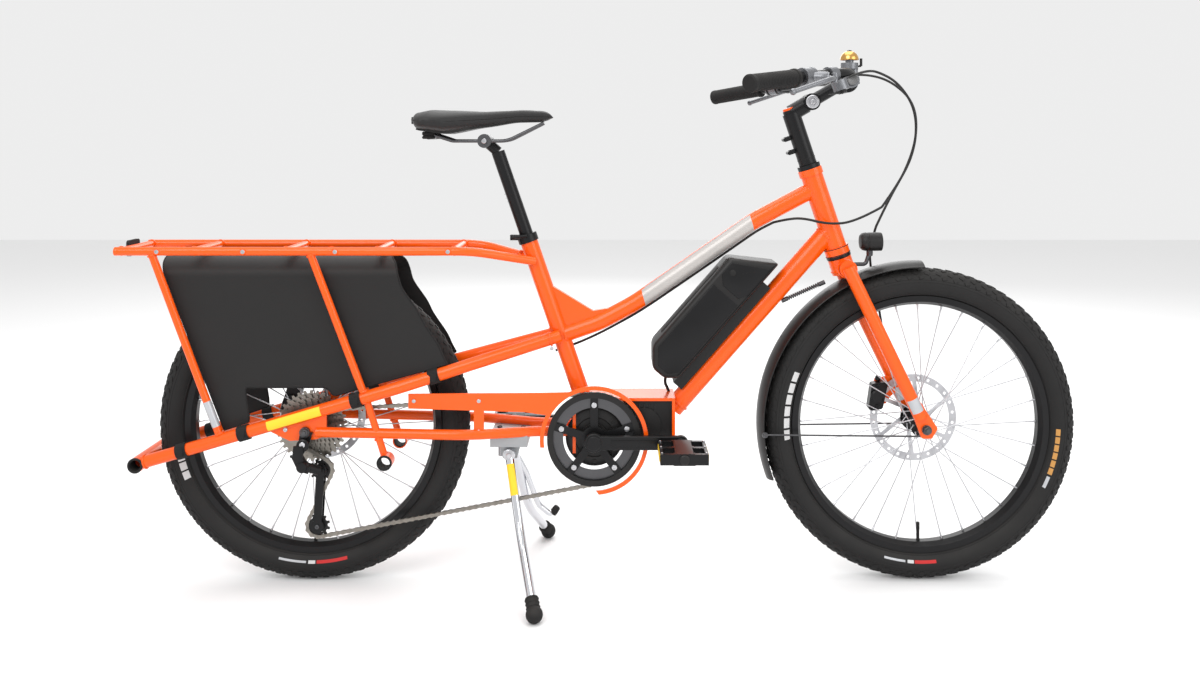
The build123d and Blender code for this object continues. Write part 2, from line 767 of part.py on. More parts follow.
perch_share = 0.72
perch_nose = 3.2
perch_nose_radius = 4.6
lever_hub_radius = 6
lever_gap = 0.9


def lever_pivot(side, ahead):
    """The middle of a brake lever's hub, a distance ahead of its perch's end."""
    route = bar_route(side)
    near = along(route[2], route[3], perch_share)
    seat = along(near, along(route[2], route[3], perch_share + 0.2), 0.5)
    end = (near[0] + 30, near[1] + side * 22, near[2] - 4)
    reach = (Vector(*end) - Vector(*seat)).length
    return along(seat, end, 1 + ahead / reach)


with BuildPart() as lever_perches:
    for side in (-1, 1):
        route = bar_route(side)
        near = along(route[2], route[3], perch_share)
        far = along(route[2], route[3], perch_share + 0.2)
        bar(near, far, 17, handlebar_radius)
        bar(along(near, far, 0.5), lever_pivot(side, -perch_nose), 10)
        bar(along(near, far, 0.5), lever_pivot(side, 0), perch_nose_radius)
        bar(along(near, far, -1), along(near, far, 2), handlebar_radius, mode=Mode.SUBTRACT)


def lever_points(side):
    """The brake lever's run from its perch, outboard and back ahead of the grip."""
    start = lever_pivot(side, lever_hub_radius + lever_gap)
    middle = (start[0] - 16, start[1] + side * 40, start[2] - 4)
    end = (grip_outer[0] + 76, side * (grip_outer[1] - 20), grip_outer[2] - 14)
    return [start, middle, end]


for side, name in ((-1, "brake_lever_right"), (1, "brake_lever_left")):
    with BuildPart() as lever:
        start, middle, end = lever_points(side)
        pipe([start, middle, end], [30], 4.5)
        bar((start[0], start[1], start[2] - 9), (start[0], start[1], start[2] + 9), lever_hub_radius)
    save(lever.part, name)

shift_near = along(bar_route(-1)[2], bar_route(-1)[3], 0.36)
shifter_bend, shifter_grip = bar_route(-1)[2:4]
with BuildPart() as shifter_body:
    bar(along(shifter_bend, shifter_grip, 0.3), along(shifter_bend, shifter_grip, 0.44), 15, handlebar_radius)
    pod_top = (shift_near[0] + 12, shift_near[1] - 6, shift_near[2] - 12)
    pod_bottom = (shift_near[0] + 18, shift_near[1] - 8, shift_near[2] - 30)
    bar(pod_top, pod_bottom, 15)
    bar(shifter_bend, shifter_grip, handlebar_radius, mode=Mode.SUBTRACT)

shift_pivot = (shift_near[0] + 18.1, shift_near[1] - 8, shift_near[2] - 30.3)
with BuildPart() as shift_lever:
    bar(shift_pivot, (shift_pivot[0] + 1.6, shift_pivot[1] - 0.5, shift_pivot[2] - 5), 8)
    bar(
        (shift_pivot[0] + 1, shift_pivot[1], shift_pivot[2] - 2.5),
        (shift_pivot[0] - 30, shift_pivot[1] - 16, shift_pivot[2] - 4),
        4,
    )
    with BuildSketch(Plane(origin=shift_pivot, z_dir=(6, -2, -18))) as cut:
        Rectangle(90, 90)
    extrude(cut.sketch, amount=-20, mode=Mode.SUBTRACT)
save(shift_lever.part, "shift_lever")

with BuildPart() as display:
    block((bar_clamp[0] - 16, bar_clamp[0] + 34), (26, 72), (bar_clamp[1] + 16, bar_clamp[1] + 27))
    fillet(display.edges().filter_by(Axis.Z), 8)
    disc(bar_clamp, 44, 54, 16.5)
    disc(bar_clamp, 40, 60, handlebar_radius, mode=Mode.SUBTRACT)

bell_at = (bar_clamp[0] - 4, -58, bar_clamp[1] + 34)
with BuildPart() as bell:
    bar((bell_at[0], bell_at[1], bell_at[2] - 12), bell_at, 17)
    bar(bell_at, (bell_at[0], bell_at[1], bell_at[2] + 6), 8)
    disc(bar_clamp, -64, -52, 15, handlebar_radius)
    block((bar_clamp[0] - 9, bar_clamp[0] + 5), (-64, -52), (bar_clamp[1] + 13, bar_clamp[1] + 23))
    disc(bar_clamp, -70, -46, handlebar_radius, mode=Mode.SUBTRACT)
save_group([lever_perches.part, shifter_body.part, display.part, bell.part], "bar_fittings")

with BuildPart() as bell_dome:
    with Locations((bell_at[0], bell_at[1], bell_at[2] + 6.3)):
        Sphere(18)
        Sphere(16.4, mode=Mode.SUBTRACT)
    block((300, 700), (-200, 100), (bell_at[2] - 30, bell_at[2] + 6.3), mode=Mode.SUBTRACT)
    bar((bell_at[0], bell_at[1], bell_at[2] + 6.3), (bell_at[0], bell_at[1], bell_at[2] + 23), 4)
save(bell_dome.part, "bell_dome")

with BuildPart() as bell_striker:
    bar((bell_at[0] + 23, bell_at[1], bell_at[2] - 6), (bell_at[0] + 23, bell_at[1], bell_at[2] + 9), 2.6)
    bar((bell_at[0] + 18.4, bell_at[1], bell_at[2] - 6), (bell_at[0] + 23, bell_at[1], bell_at[2] - 6), 2)
    disc((bell_at[0] + 19.5, bell_at[2] - 6), bell_at[1] - 3, bell_at[1] + 3, 2.1)
save(bell_striker.part, "bell_striker")

# ---------------------------------------------------------------- seat

post_top = (on_seat(862), 862)
clamp_at = (-236, 884)
with BuildPart() as seat_post:
    bar((on_seat(520), 0, 520), at(post_top), post_radius)
    bar(at(post_top), at(clamp_at), 11)
    disc(clamp_at, -20, 20, 14)
save(seat_post.part, "seat_post")

collar_centre = (on_seat(676), 676)
collar_top = (on_seat(694), 0, 694)
with BuildPart() as seat_collar:
    bar((on_seat(679.5), 0, 679.5), collar_top, seat_radius + 3, post_radius + fit)
    block((-186, -168), (-7, 7), (683, 694))
    bar((on_seat(660), 0, 660), (on_seat(710), 0, 710), post_radius + fit, mode=Mode.SUBTRACT)

with BuildPart() as collar_lever:
    bar((-181, -18, 689), (-181, 12, 689), 3)
    bar((-181, -18, 689), (-150, -26, 694), 3.4)
    add(seat_collar.part, mode=Mode.SUBTRACT)
    bar((on_seat(660), 0, 660), (on_seat(710), 0, 710), post_radius + fit, mode=Mode.SUBTRACT)
save_group([headset_cups.part, seat_collar.part, collar_lever.part], "headset_and_collar")

saddle_profile = [
    (-380, 925), (-372, 944), (-340, 947), (-236, 944), (-160, 947), (-108, 944),
    (-97, 930), (-110, 922), (-170, 922), (-236, 912), (-310, 898), (-366, 906),
]
with BuildPart() as saddle:
    with BuildSketch(Plane.XY.offset(895)) as outline:
        with BuildLine():
            Polyline(
                (-383, -58), (-352, -84), (-318, -82), (-258, -46), (-190, -23), (-120, -19), (-98, -8),
                (-98, 8), (-120, 19), (-190, 23), (-258, 46), (-318, 82), (-352, 84), (-383, 58),
                close=True,
            )
        make_face()
    extrude(outline.sketch, amount=60)
    with BuildSketch(across(100)) as profile:
        with BuildLine():
            Polyline(*saddle_profile, close=True)
        make_face()
    extrude(profile.sketch, amount=200, mode=Mode.INTERSECT)
save(saddle.part, "saddle")

with BuildPart() as saddle_rails:
    for side in (-1, 1):
        pipe(
            [(-345, side * 36, 899), (-300, side * 24, 884), (-190, side * 22, 884), (-118, side * 9, 920)],
            [20, 60],
            3.5,
        )
    disc((-345, 894), -42, 42, 7)
    disc(clamp_at, -28, 28, 14, 3.4)
    disc(clamp_at, -20.3, 20.3, 16, mode=Mode.SUBTRACT)
    disc(clamp_at, -31, 31, 3.3)
    disc(clamp_at, -20.3, 20.3, 3.5, mode=Mode.SUBTRACT)
    add(saddle.part, mode=Mode.SUBTRACT)
    bar(at(post_top), at(clamp_at), 12, mode=Mode.SUBTRACT)
save(saddle_rails.part, "saddle_rails")

# ---------------------------------------------------------------- drive

ring_y = chain_y
with BuildPart() as chainring:
    disc(crank_axis, ring_y - 1.2, ring_y + 1.2, chainring_radius, 62)
    disc(crank_axis, ring_y - 7.5, ring_y - 4.5, guard_ring_radius, guard_ring_radius - 11)
    for arm in range(5):
        angle = radians(72 * arm + 18)
        inner = (crank_axis[0] + 18 * cos(angle), crank_axis[1] + 18 * sin(angle))
        outer = (crank_axis[0] + 84 * cos(angle), crank_axis[1] + 84 * sin(angle))
        with BuildSketch(across(ring_y - 1.2)) as section:
            with BuildLine() as edge:
                Line(inner, outer)
            trace(edge.line, line_width=15)
        extrude(section.sketch, amount=6.3)
    disc(crank_axis, ring_y - 7.5, ring_y - 1.2, 26)
    disc(crank_axis, ring_y - 20, ring_y + 20, 12 + fit, mode=Mode.SUBTRACT)
save(chainring.part, "chainring")

with BuildPart() as crank_spindle:
    disc(crank_axis, -crank_outer_y, crank_outer_y, 12)

crank_arms = []
for side in (-1, 1):
    with BuildPart() as arm:
        end = (crank_axis[0] - side * crank_length, crank_axis[1])
        edges = sorted((side * crank_inner_y, side * crank_outer_y))
        with BuildSketch(across(edges[1])) as section:
            with BuildLine() as edge:
                Line(crank_axis, end)
            trace(edge.line, line_width=27)
            with Locations(crank_axis):
                Circle(19)
            with Locations(end):
                Circle(14.5)
        extrude(section.sketch, amount=crank_outer_y - crank_inner_y)
        fillet(arm.edges().group_by(Axis.Y)[-1] + arm.edges().group_by(Axis.Y)[0], 2.5)
        disc(crank_axis, -90, 90, 12, mode=Mode.SUBTRACT)
        disc(end, -90, 90, 6.8, mode=Mode.SUBTRACT)
    crank_arms.append(arm.part)
save_group([crank_spindle.part, *crank_arms], "cranks")

for side, name in ((-1, "pedal_right"), (1, "pedal_left")):
    with BuildPart() as pedal:
        end = (crank_axis[0] - side * crank_length, crank_axis[1])
        edges = sorted((side * (crank_inner_y + 1), side * pedal_inner_y))
        disc(end, edges[0], edges[1], 6.5)
        low, high = sorted((side * pedal_inner_y, side * pedal_outer_y))
        block((end[0] - 20, end[0] + 20), (low, high), (end[1] - 11, end[1] + 11))
        length = (end[0] - pedal_half_length, end[0] + pedal_half_length)
        block(length, (low, high), (end[1] - 10, end[1] + 10))
        for front in (-1, 1):
            opening = sorted((end[0] + front * 17, end[0] + front * (pedal_half_length - 6)))
            for y_low, y_high in ((low + 9, low + 41), (low + 51, high - 9)):
                block(opening, (y_low, y_high), (end[1] - 12, end[1] + 12), mode=Mode.SUBTRACT)
    save(pedal.part, name)

with BuildPart() as cassette:
    for number, radius in enumerate(cog_radii):
        y = cog_first_y - number * cog_pitch
        disc((rear_axle_x, tyre_radius), y - cog_thickness / 2, y + cog_thickness / 2, radius)
    disc((rear_axle_x, tyre_radius), -58, -28, 16)
    disc((rear_axle_x, tyre_radius), -70, -20, 12 + fit, mode=Mode.SUBTRACT)
    bar((rear_axle_x, -28, tyre_radius), (rear_axle_x, -26.5, tyre_radius), 20, 12 + fit)
save(cassette.part, "cassette")

cage_thickness = 2
with BuildPart() as derailleur_body:
    pulley_end = (guide_pulley[0], -66, guide_pulley[1] + 4)
    pipe([(-581, -79, 294), (-592, -86, 272), (-580, -84, 250), pulley_end], [10, 12], 9)
    plate([(-590, 314), (-594, 288), (-574, 284), (-566, 314)], -78, -72)
    disc((rear_axle_x, tyre_radius), -90, -60, 11, mode=Mode.SUBTRACT)
    disc(guide_pulley, -61.5, chain_y + 30, 60, mode=Mode.SUBTRACT)
save(derailleur_body.part, "derailleur_body")

with BuildPart() as derailleur_cage:
    for y in (chain_y - 9, chain_y + 7):
        with BuildSketch(across(y + cage_thickness)) as section:
            with BuildLine() as edge:
                Line(guide_pulley, tension_pulley)
            trace(edge.line, line_width=16)
            with Locations(guide_pulley, tension_pulley):
                Circle(13)
        extrude(section.sketch, amount=cage_thickness)
    for centre in (guide_pulley, tension_pulley):
        disc(centre, chain_y - 9, chain_y + 9, 3)
    disc(guide_pulley, -61.3, -57, 9)
save(derailleur_cage.part, "derailleur_cage")

for centre, name in ((guide_pulley, "guide_pulley"), (tension_pulley, "tension_pulley")):
    with BuildPart() as pulley:
        disc(centre, chain_y - 3.5, chain_y + 3.5, 12, 3 + fit)
        disc(centre, chain_y - 1, chain_y + 1, pulley_radius, 3 + fit)
    save(pulley.part, name)


def belt(first, first_radius, first_turn, second, second_radius, second_turn):
    """The two points where a taut chain leaves one wheel and meets the next.

    A turn of 1 runs anticlockwise in the side view and -1 clockwise.
    """
    dx, dz = second[0] - first[0], second[1] - first[1]
    span, heading = hypot(dx, dz), atan2(dz, dx)
    offset_angle = acos((first_radius * first_turn - second_radius * second_turn) / span)
    away = heading - offset_angle
    leave = (
        first[0] + first_radius * first_turn * cos(away),
        first[1] + first_radius * first_turn * sin(away),
    )
    meet = (
        second[0] + second_radius * second_turn * cos(away),
        second[1] + second_radius * second_turn * sin(away),
    )
    return leave, meet


rear_centre = (rear_axle_x, tyre_radius)
chain_over_ring = chainring_radius + 0.4 + chain_height / 2
chain_over_cog = cog_radii[drive_cog] + 0.4 + chain_height / 2
chain_over_pulley = pulley_radius + 0.4 + chain_height / 2
chain_wheels = [
    (crank_axis, chain_over_ring, 1),
    (rear_centre, chain_over_cog, 1),
    (guide_pulley, chain_over_pulley, -1),
    (tension_pulley, chain_over_pulley, 1),
]


def wrap_middle(centre, radius, turn, start, end):
    """The point halfway round the arc that the chain makes on a wheel."""
    first = atan2(start[1] - centre[1], start[0] - centre[0])
    last = atan2(end[1] - centre[1], end[0] - centre[0])
    swing = (last - first) * turn
    while swing < 0:
        swing += 2 * pi
    middle = first + turn * swing / 2
    return (centre[0] + radius * cos(middle), centre[1] + radius * sin(middle))


with BuildPart() as chain:
    runs = []
    for number, here in enumerate(chain_wheels):
        runs.append(belt(*here, *chain_wheels[(number + 1) % len(chain_wheels)]))
    with BuildLine(across(chain_y)) as loop:
        for number, here in enumerate(chain_wheels):
            arrive = runs[number - 1][1]
            leave = runs[number][0]
            ThreePointArc(arrive, wrap_middle(*here, arrive, leave), leave)
            Line(*runs[number])
    start_point = loop.line @ 0
    with BuildSketch(Plane(origin=start_point, x_dir=(0, 1, 0), z_dir=loop.line % 0)) as section:
        Rectangle(5, chain_height)
    sweep(section.sketch, path=loop.line)
save(chain.part, "chain")

# ---------------------------------------------------------------- stand

with BuildPart() as stand_bracket:
    block((-222, -148), (-46, 46), (276, 299))
    for side in (-1, 1):
        pipe(chain_stay_route(side), [300, 120], chain_stay_radius, mode=Mode.SUBTRACT)
        edges = sorted((side * 12, side * 20))
        plate([(-206, 276), (-199, 246), (-171, 246), (-164, 276)], edges[0], edges[1])
    disc(stand_pivot, -30, 30, 7 + fit, mode=Mode.SUBTRACT)
save(stand_bracket.part, "stand_bracket")

with BuildPart() as stand_legs:
    disc(stand_pivot, -26, 26, 7)
    for side in (-1, 1):
        edges = sorted((side * 22, side * 38))
        disc(stand_pivot, edges[0], edges[1], 12)
        knee = (stand_knee[0], side * stand_knee[1], stand_knee[2])
        foot = (stand_foot[0], side * stand_foot[1], stand_foot[2])
        pipe([at(stand_pivot, side * 33), knee, along(knee, foot, 0.93)], [150], stand_leg_radius)

with BuildPart() as stand_feet:
    for side in (-1, 1):
        knee = (stand_knee[0], side * stand_knee[1], stand_knee[2])
        foot = (stand_foot[0], side * stand_foot[1], stand_foot[2])
        with Locations(foot):
            Sphere(16)
        bar(along(knee, foot, 0.8), along(knee, foot, 1), 12.5)
        bar(along(knee, foot, 0.5), along(knee, foot, 0.93), stand_leg_radius, mode=Mode.SUBTRACT)
save(stand_feet.part, "stand_feet")

with BuildPart() as stand_lever:
    pipe([(-183, 45, 244), (-158, 62, 190), (-134, 74, 120), (-108, 80, 96), (-98, 82, 110)], [70, 30, 9], 6)
    disc((-184, 250), 38.3, 50, 10)
    add(stand_legs.part, mode=Mode.SUBTRACT)
save_group([stand_legs.part, stand_lever.part], "stand_legs")

# ---------------------------------------------------------------- skirt, trim, cables

skirt_y = 60
with BuildPart() as wheel_skirt:
    outline = [(-876, 655), (-425, 655), (-408, 640), (-398, 600), (-360, 540), (-318, 470)]
    outline += [(-300, stay_height(-300) + 14), (-520, stay_height(-520) + 14), (-528, 398), (-676, 398)]
    outline += [(-684, stay_height(-684) + 14), (-745, stay_height(-745) + 16)]
    with BuildSketch(across(skirt_y)) as profile:
        with BuildLine():
            Polyline(*outline, close=True)
        make_face()
    extrude(profile.sketch, amount=2 * skirt_y)
    with BuildSketch(Plane.YZ.offset(-900)) as tunnel:
        with BuildLine():
            Line((-skirt_y + 2, 200), (skirt_y - 2, 200))
            Line((skirt_y - 2, 200), (skirt_y - 2, 618))
            ThreePointArc((skirt_y - 2, 618), (0, 653), (-skirt_y + 2, 618))
            Line((-skirt_y + 2, 618), (-skirt_y + 2, 200))
        make_face()
    extrude(tunnel.sketch, amount=700, mode=Mode.SUBTRACT)
    with BuildSketch(Plane.YZ.offset(-900)) as shell:
        with BuildLine():
            Line((-skirt_y, 200), (skirt_y, 200))
            Line((skirt_y, 200), (skirt_y, 618))
            ThreePointArc((skirt_y, 618), (0, 655), (-skirt_y, 618))
            Line((-skirt_y, 618), (-skirt_y, 200))
        make_face()
    extrude(shell.sketch, amount=700, mode=Mode.INTERSECT)
save(wheel_skirt.part, "wheel_skirt")

strap_places = [-820, -700, -480, -330]
with BuildPart() as skirt_straps:
    for x in strap_places:
        for side in (-1, 1):
            y = half_track if x < -400 else 62
            start = (x - 9, side * y, stay_height(x - 9))
            end = (x + 9, side * y, stay_height(x + 9))
            bar(start, end, stay_radius + 1.6)
            pipe(stay_route(side), [400], stay_radius, mode=Mode.SUBTRACT)
    add(wheel_skirt.part, mode=Mode.SUBTRACT)
    add(rack_struts.part, mode=Mode.SUBTRACT)

with BuildPart() as tail_light:
    block((-955, -949), (-24, 24), (rack_height - 16, rack_height + 16))
    last_bar = (crossbar_places[0], -90, rack_height), (crossbar_places[0], 90, rack_height)
    bar(*last_bar, rail_radius - 1, mode=Mode.SUBTRACT)
    fillet(tail_light.edges().filter_by(Axis.X), 6)
save_group([tube_liners.part, skirt_straps.part, tail_light.part], "rack_trim")

cable_radius = 2.5


def cable(points, radius):
    """A cable along a route of gentle bends, each arc as large as its two runs allow."""
    bends = []
    for before, here, after in zip(points, points[1:], points[2:]):
        into, out = Vector(*here) - Vector(*before), Vector(*after) - Vector(*here)
        turn = into.get_angle(out)
        bends.append(0.45 * min(into.length, out.length) / sin(radians(turn / 2)) * cos(radians(turn / 2)))
    pipe(points, bends, radius)


under_top = top_radius + cable_radius + 0.6


def below_top_tube(x, z):
    """A point just under the top tube's lower face."""
    return (x + 8, 2, z - under_top + 2.6)


hose_split = (566, 38, 708)
casing_split = (560, -31, 752)
upper_routes = [
    [
        (540, -66, 1022), (584, -62, 1000), (622, -50, 948), (628, -34, 880), (604, -28, 812), casing_split,
    ],
    [
        (548, 62, 1024), (600, 56, 1010), (646, 46, 966), (652, 40, 900), (630, 36, 830), (592, 37, 764),
        hose_split,
    ],
]
steer_routes = [
    [
        casing_split, (505, -36, 722), (450, -37, 718), (402, -27, 730), (370, -16, 726),
        below_top_tube(340, 736),
    ],
    [hose_split, (553, 44, 664), (560, 58, 612), (573, 66, 560), (584, 64, 504), (588, 58, 452)],
]
with BuildPart() as bar_cables:
    for route in upper_routes:
        cable(route, cable_radius)
save(bar_cables.part, "bar_cables")

with BuildPart() as steer_cables:
    for route in steer_routes:
        cable(route, cable_radius)
    add(fork.part, mode=Mode.SUBTRACT)
    add(bar_cables.part, mode=Mode.SUBTRACT)
save(steer_cables.part, "steer_cables")

frame_cable_routes = [
    [
        below_top_tube(340, 736), below_top_tube(308, 720), below_top_tube(210, 652), below_top_tube(67, 554),
        (-5, 22, 490), (-50, 32, 468), (-96, 34, 452),
    ],
]
with BuildPart() as frame_cables:
    for route in frame_cable_routes:
        cable(route, cable_radius)
    add(steer_cables.part, mode=Mode.SUBTRACT)
    pipe([at(p) for p in top_tube_points], [260, 420, 200], top_radius, mode=Mode.SUBTRACT)
save(frame_cables.part, "frame_cables")

with BuildPart() as stabiliser:
    bar((366, 0, 560), (452, 0, 598), 4.5)
    bar((463, 0, 705), at(down_tube_end), down_radius, mode=Mode.SUBTRACT)
    add(fork.part, mode=Mode.SUBTRACT)
save(stabiliser.part, "stabiliser")
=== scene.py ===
"""Looks for an electric longtail cargo bicycle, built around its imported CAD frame."""

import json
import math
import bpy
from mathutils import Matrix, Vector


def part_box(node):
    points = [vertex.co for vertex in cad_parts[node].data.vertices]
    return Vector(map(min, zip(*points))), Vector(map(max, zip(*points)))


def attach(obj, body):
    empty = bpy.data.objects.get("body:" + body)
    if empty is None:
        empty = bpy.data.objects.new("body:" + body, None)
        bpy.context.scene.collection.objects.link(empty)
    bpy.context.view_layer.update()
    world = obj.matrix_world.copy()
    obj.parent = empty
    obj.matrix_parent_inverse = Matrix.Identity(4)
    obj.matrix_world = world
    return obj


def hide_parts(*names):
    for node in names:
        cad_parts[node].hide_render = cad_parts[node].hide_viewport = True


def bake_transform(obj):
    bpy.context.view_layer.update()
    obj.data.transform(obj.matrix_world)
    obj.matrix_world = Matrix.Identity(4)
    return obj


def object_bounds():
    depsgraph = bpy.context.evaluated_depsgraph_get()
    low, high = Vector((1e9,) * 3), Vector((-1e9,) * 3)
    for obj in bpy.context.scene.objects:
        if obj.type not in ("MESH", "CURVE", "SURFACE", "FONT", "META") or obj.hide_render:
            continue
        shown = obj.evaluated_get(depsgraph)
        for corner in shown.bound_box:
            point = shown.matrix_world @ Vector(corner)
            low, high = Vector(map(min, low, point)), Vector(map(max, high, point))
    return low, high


bl_info = {
    "name": "Cargo Bicycle Finish",
    "version": (1, 0, 0),
    "blender": (4, 5, 0),
    "location": "View3D > Sidebar > Bicycle",
    "description": "Models the soft, cast and small parts of a cargo bicycle and finishes every surface",
    "category": "Object",
}

import bpy
from mathutils import Matrix, Vector

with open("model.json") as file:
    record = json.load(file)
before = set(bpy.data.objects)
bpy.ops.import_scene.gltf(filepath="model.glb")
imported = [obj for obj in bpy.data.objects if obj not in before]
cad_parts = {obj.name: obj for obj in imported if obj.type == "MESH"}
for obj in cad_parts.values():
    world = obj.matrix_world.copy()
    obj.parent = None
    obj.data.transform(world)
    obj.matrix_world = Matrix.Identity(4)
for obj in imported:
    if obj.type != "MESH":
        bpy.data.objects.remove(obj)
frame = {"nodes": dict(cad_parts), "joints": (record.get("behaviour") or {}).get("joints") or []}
cad_low, cad_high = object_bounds()
JOINTS = {joint["name"]: joint for joint in frame["joints"]}
NODES = frame["nodes"]
ACROSS = Vector((0, 1, 0))
UP = Vector((0, 0, 1))
TURN = 2 * math.pi


def pivot(name):
    """The point that a joint turns about."""
    return Vector(JOINTS[name]["pos_m"])


def middle(node):
    """The centre of a CAD node's box."""
    low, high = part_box(node)
    return (low + high) / 2


front_axle = pivot("front_wheel_spin")
rear_axle = pivot("rear_wheel_spin")
crank_axis = pivot("crank_spin")
tyre_radius = front_axle.z
tyre_half = (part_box("front_tyre")[1].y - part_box("front_tyre")[0].y) / 2
millimetre = 0.001


# ---------------------------------------------------------------- sizes and colours


class BICYCLE_sizes(bpy.types.PropertyGroup):
    """Sizes that a user may change."""

    tread_depth: bpy.props.FloatProperty(
        name="Tread depth", description="Depth of the tyre's tread", default=0.0016, unit="LENGTH"
    )
    weld_bead: bpy.props.FloatProperty(
        name="Weld bead", description="Radius of the weld beads on the frame", default=0.0022,
        unit="LENGTH"
    )
    cable_radius: bpy.props.FloatProperty(
        name="Cable radius", description="Radius of the control cables", default=0.0025, unit="LENGTH"
    )
    skirt_thickness: bpy.props.FloatProperty(
        name="Skirt thickness", description="Thickness of the wheel skirt's cloth", default=0.0016,
        unit="LENGTH"
    )
    chain_pitch: bpy.props.FloatProperty(
        name="Chain pitch", description="Distance between chain pins", default=0.0127, unit="LENGTH"
    )


def colour(name, text, value):
    """A colour property with its default."""
    return bpy.props.FloatVectorProperty(
        name=name, description=text, default=value, size=3, subtype="COLOR", min=0, max=1
    )


class BICYCLE_colours(bpy.types.PropertyGroup):
    """Colours that a user may change."""

    paint: colour("Paint", "Gloss paint of the frame, fork and rack", (0.90, 0.108, 0.0008))
    paint_shade: colour("Paint shade", "Deeper tone that the paint drifts to", (0.78, 0.078, 0.0005))
    rubber: colour("Rubber", "Tyres, grips and feet", (0.0075, 0.0072, 0.0076))
    plastic: colour("Plastic", "Motor, battery, fender and light", (0.0085, 0.008, 0.0082))
    alloy: colour("Black alloy", "Anodised rims, cranks, stem and bar", (0.0085, 0.0085, 0.0095))
    skirt: colour("Skirt cloth", "Coated cloth over the rear wheel", (0.0085, 0.0078, 0.008))
    saddle: colour("Saddle", "Cover of the saddle", (0.013, 0.0125, 0.013))
    label: colour("Label", "Blank label strips", (0.93, 0.62, 0.03))


# ---------------------------------------------------------------- shader groups


def new_group(name, inputs, outputs):
    """A shader node group with float inputs, and outputs of the given kinds."""
    group = bpy.data.node_groups.new(name, "ShaderNodeTree")
    for label, value in inputs:
        socket = group.interface.new_socket(label, in_out="INPUT", socket_type="NodeSocketFloat")
        socket.default_value = value
    for label in outputs:
        group.interface.new_socket(label, in_out="OUTPUT", socket_type="NodeSocketFloat")
    return group, group.nodes.new("NodeGroupInput"), group.nodes.new("NodeGroupOutput")


def math_node(group, operation, first, second=None):
    """A maths node fed by sockets or numbers."""
    node = group.nodes.new("ShaderNodeMath")
    node.operation = operation
    for slot, value in enumerate((first, second)):
        if value is None:
            continue
        if isinstance(value, (int, float)):
            node.inputs[slot].default_value = value
        else:
            group.links.new(value, node.inputs[slot])
    return node.outputs[0]


def grain_group():
    """Fine moulded or cast grain: a soft mask for tone and a height for relief."""
    group, into, out = new_group(
        "Fine grain", [("Grain size", 600.0), ("Patch size", 9.0), ("Contrast", 1.0)],
        ["Tone", "Height"]
    )
    place = group.nodes.new("ShaderNodeTexCoord")
    fine = group.nodes.new("ShaderNodeTexNoise")
    fine.inputs["Detail"].default_value = 3
    patch = group.nodes.new("ShaderNodeTexNoise")
    patch.inputs["Detail"].default_value = 4
    for node, label in ((fine, "Grain size"), (patch, "Patch size")):
        group.links.new(place.outputs["Object"], node.inputs["Vector"])
        group.links.new(into.outputs[label], node.inputs["Scale"])
    mixed = math_node(group, "MULTIPLY", patch.outputs["Fac"], 0.7)
    speck = math_node(group, "MULTIPLY", fine.outputs["Fac"], 0.3)
    total = math_node(group, "ADD", mixed, speck)
    spread = math_node(group, "MULTIPLY", math_node(group, "SUBTRACT", total, 0.5),
                       into.outputs["Contrast"])
    tone = math_node(group, "ADD", spread, 0.5)
    group.links.new(tone, out.inputs["Tone"])
    group.links.new(fine.outputs["Fac"], out.inputs["Height"])
    return group


def dust_group():
    """Light dust that settles on faces that look up and in noisy patches."""
    group, into, out = new_group("Settled dust", [("Amount", 0.3), ("Patch size", 14.0)], ["Mask"])
    place = group.nodes.new("ShaderNodeTexCoord")
    shape = group.nodes.new("ShaderNodeNewGeometry")
    split = group.nodes.new("ShaderNodeSeparateXYZ")
    noise = group.nodes.new("ShaderNodeTexNoise")
    noise.inputs["Detail"].default_value = 5
    group.links.new(place.outputs["Object"], noise.inputs["Vector"])
    group.links.new(into.outputs["Patch size"], noise.inputs["Scale"])
    group.links.new(shape.outputs["Normal"], split.inputs["Vector"])
    upward = math_node(group, "MAXIMUM", split.outputs["Z"], 0.0)
    facing = math_node(group, "ADD", math_node(group, "MULTIPLY", upward, 0.8), 0.2)
    patchy = math_node(group, "MULTIPLY", facing, noise.outputs["Fac"])
    group.links.new(math_node(group, "MULTIPLY", patchy, into.outputs["Amount"]), out.inputs["Mask"])
    return group


def brushed_group():
    """Short drawn or turned streaks round the wheel axis: a tone and a height."""
    group, into, out = new_group("Turned streaks", [("Streaks", 900.0), ("Centre x", 0.0), ("Centre z",
                                                                                            0.0)],
                                 ["Tone", "Height"])
    place = group.nodes.new("ShaderNodeTexCoord")
    split = group.nodes.new("ShaderNodeSeparateXYZ")
    group.links.new(place.outputs["Object"], split.inputs["Vector"])
    dx = math_node(group, "SUBTRACT", split.outputs["X"], into.outputs["Centre x"])
    dz = math_node(group, "SUBTRACT", split.outputs["Z"], into.outputs["Centre z"])
    squares = math_node(group, "ADD", math_node(group, "MULTIPLY", dx, dx),
                        math_node(group, "MULTIPLY", dz, dz))
    away = math_node(group, "SQRT", squares)
    join = group.nodes.new("ShaderNodeCombineXYZ")
    group.links.new(away, join.inputs["X"])
    noise = group.nodes.new("ShaderNodeTexNoise")
    noise.inputs["Detail"].default_value = 4
    group.links.new(join.outputs[0], noise.inputs["Vector"])
    group.links.new(into.outputs["Streaks"], noise.inputs["Scale"])
    group.links.new(noise.outputs["Fac"], out.inputs["Tone"])
    group.links.new(noise.outputs["Fac"], out.inputs["Height"])
    return group


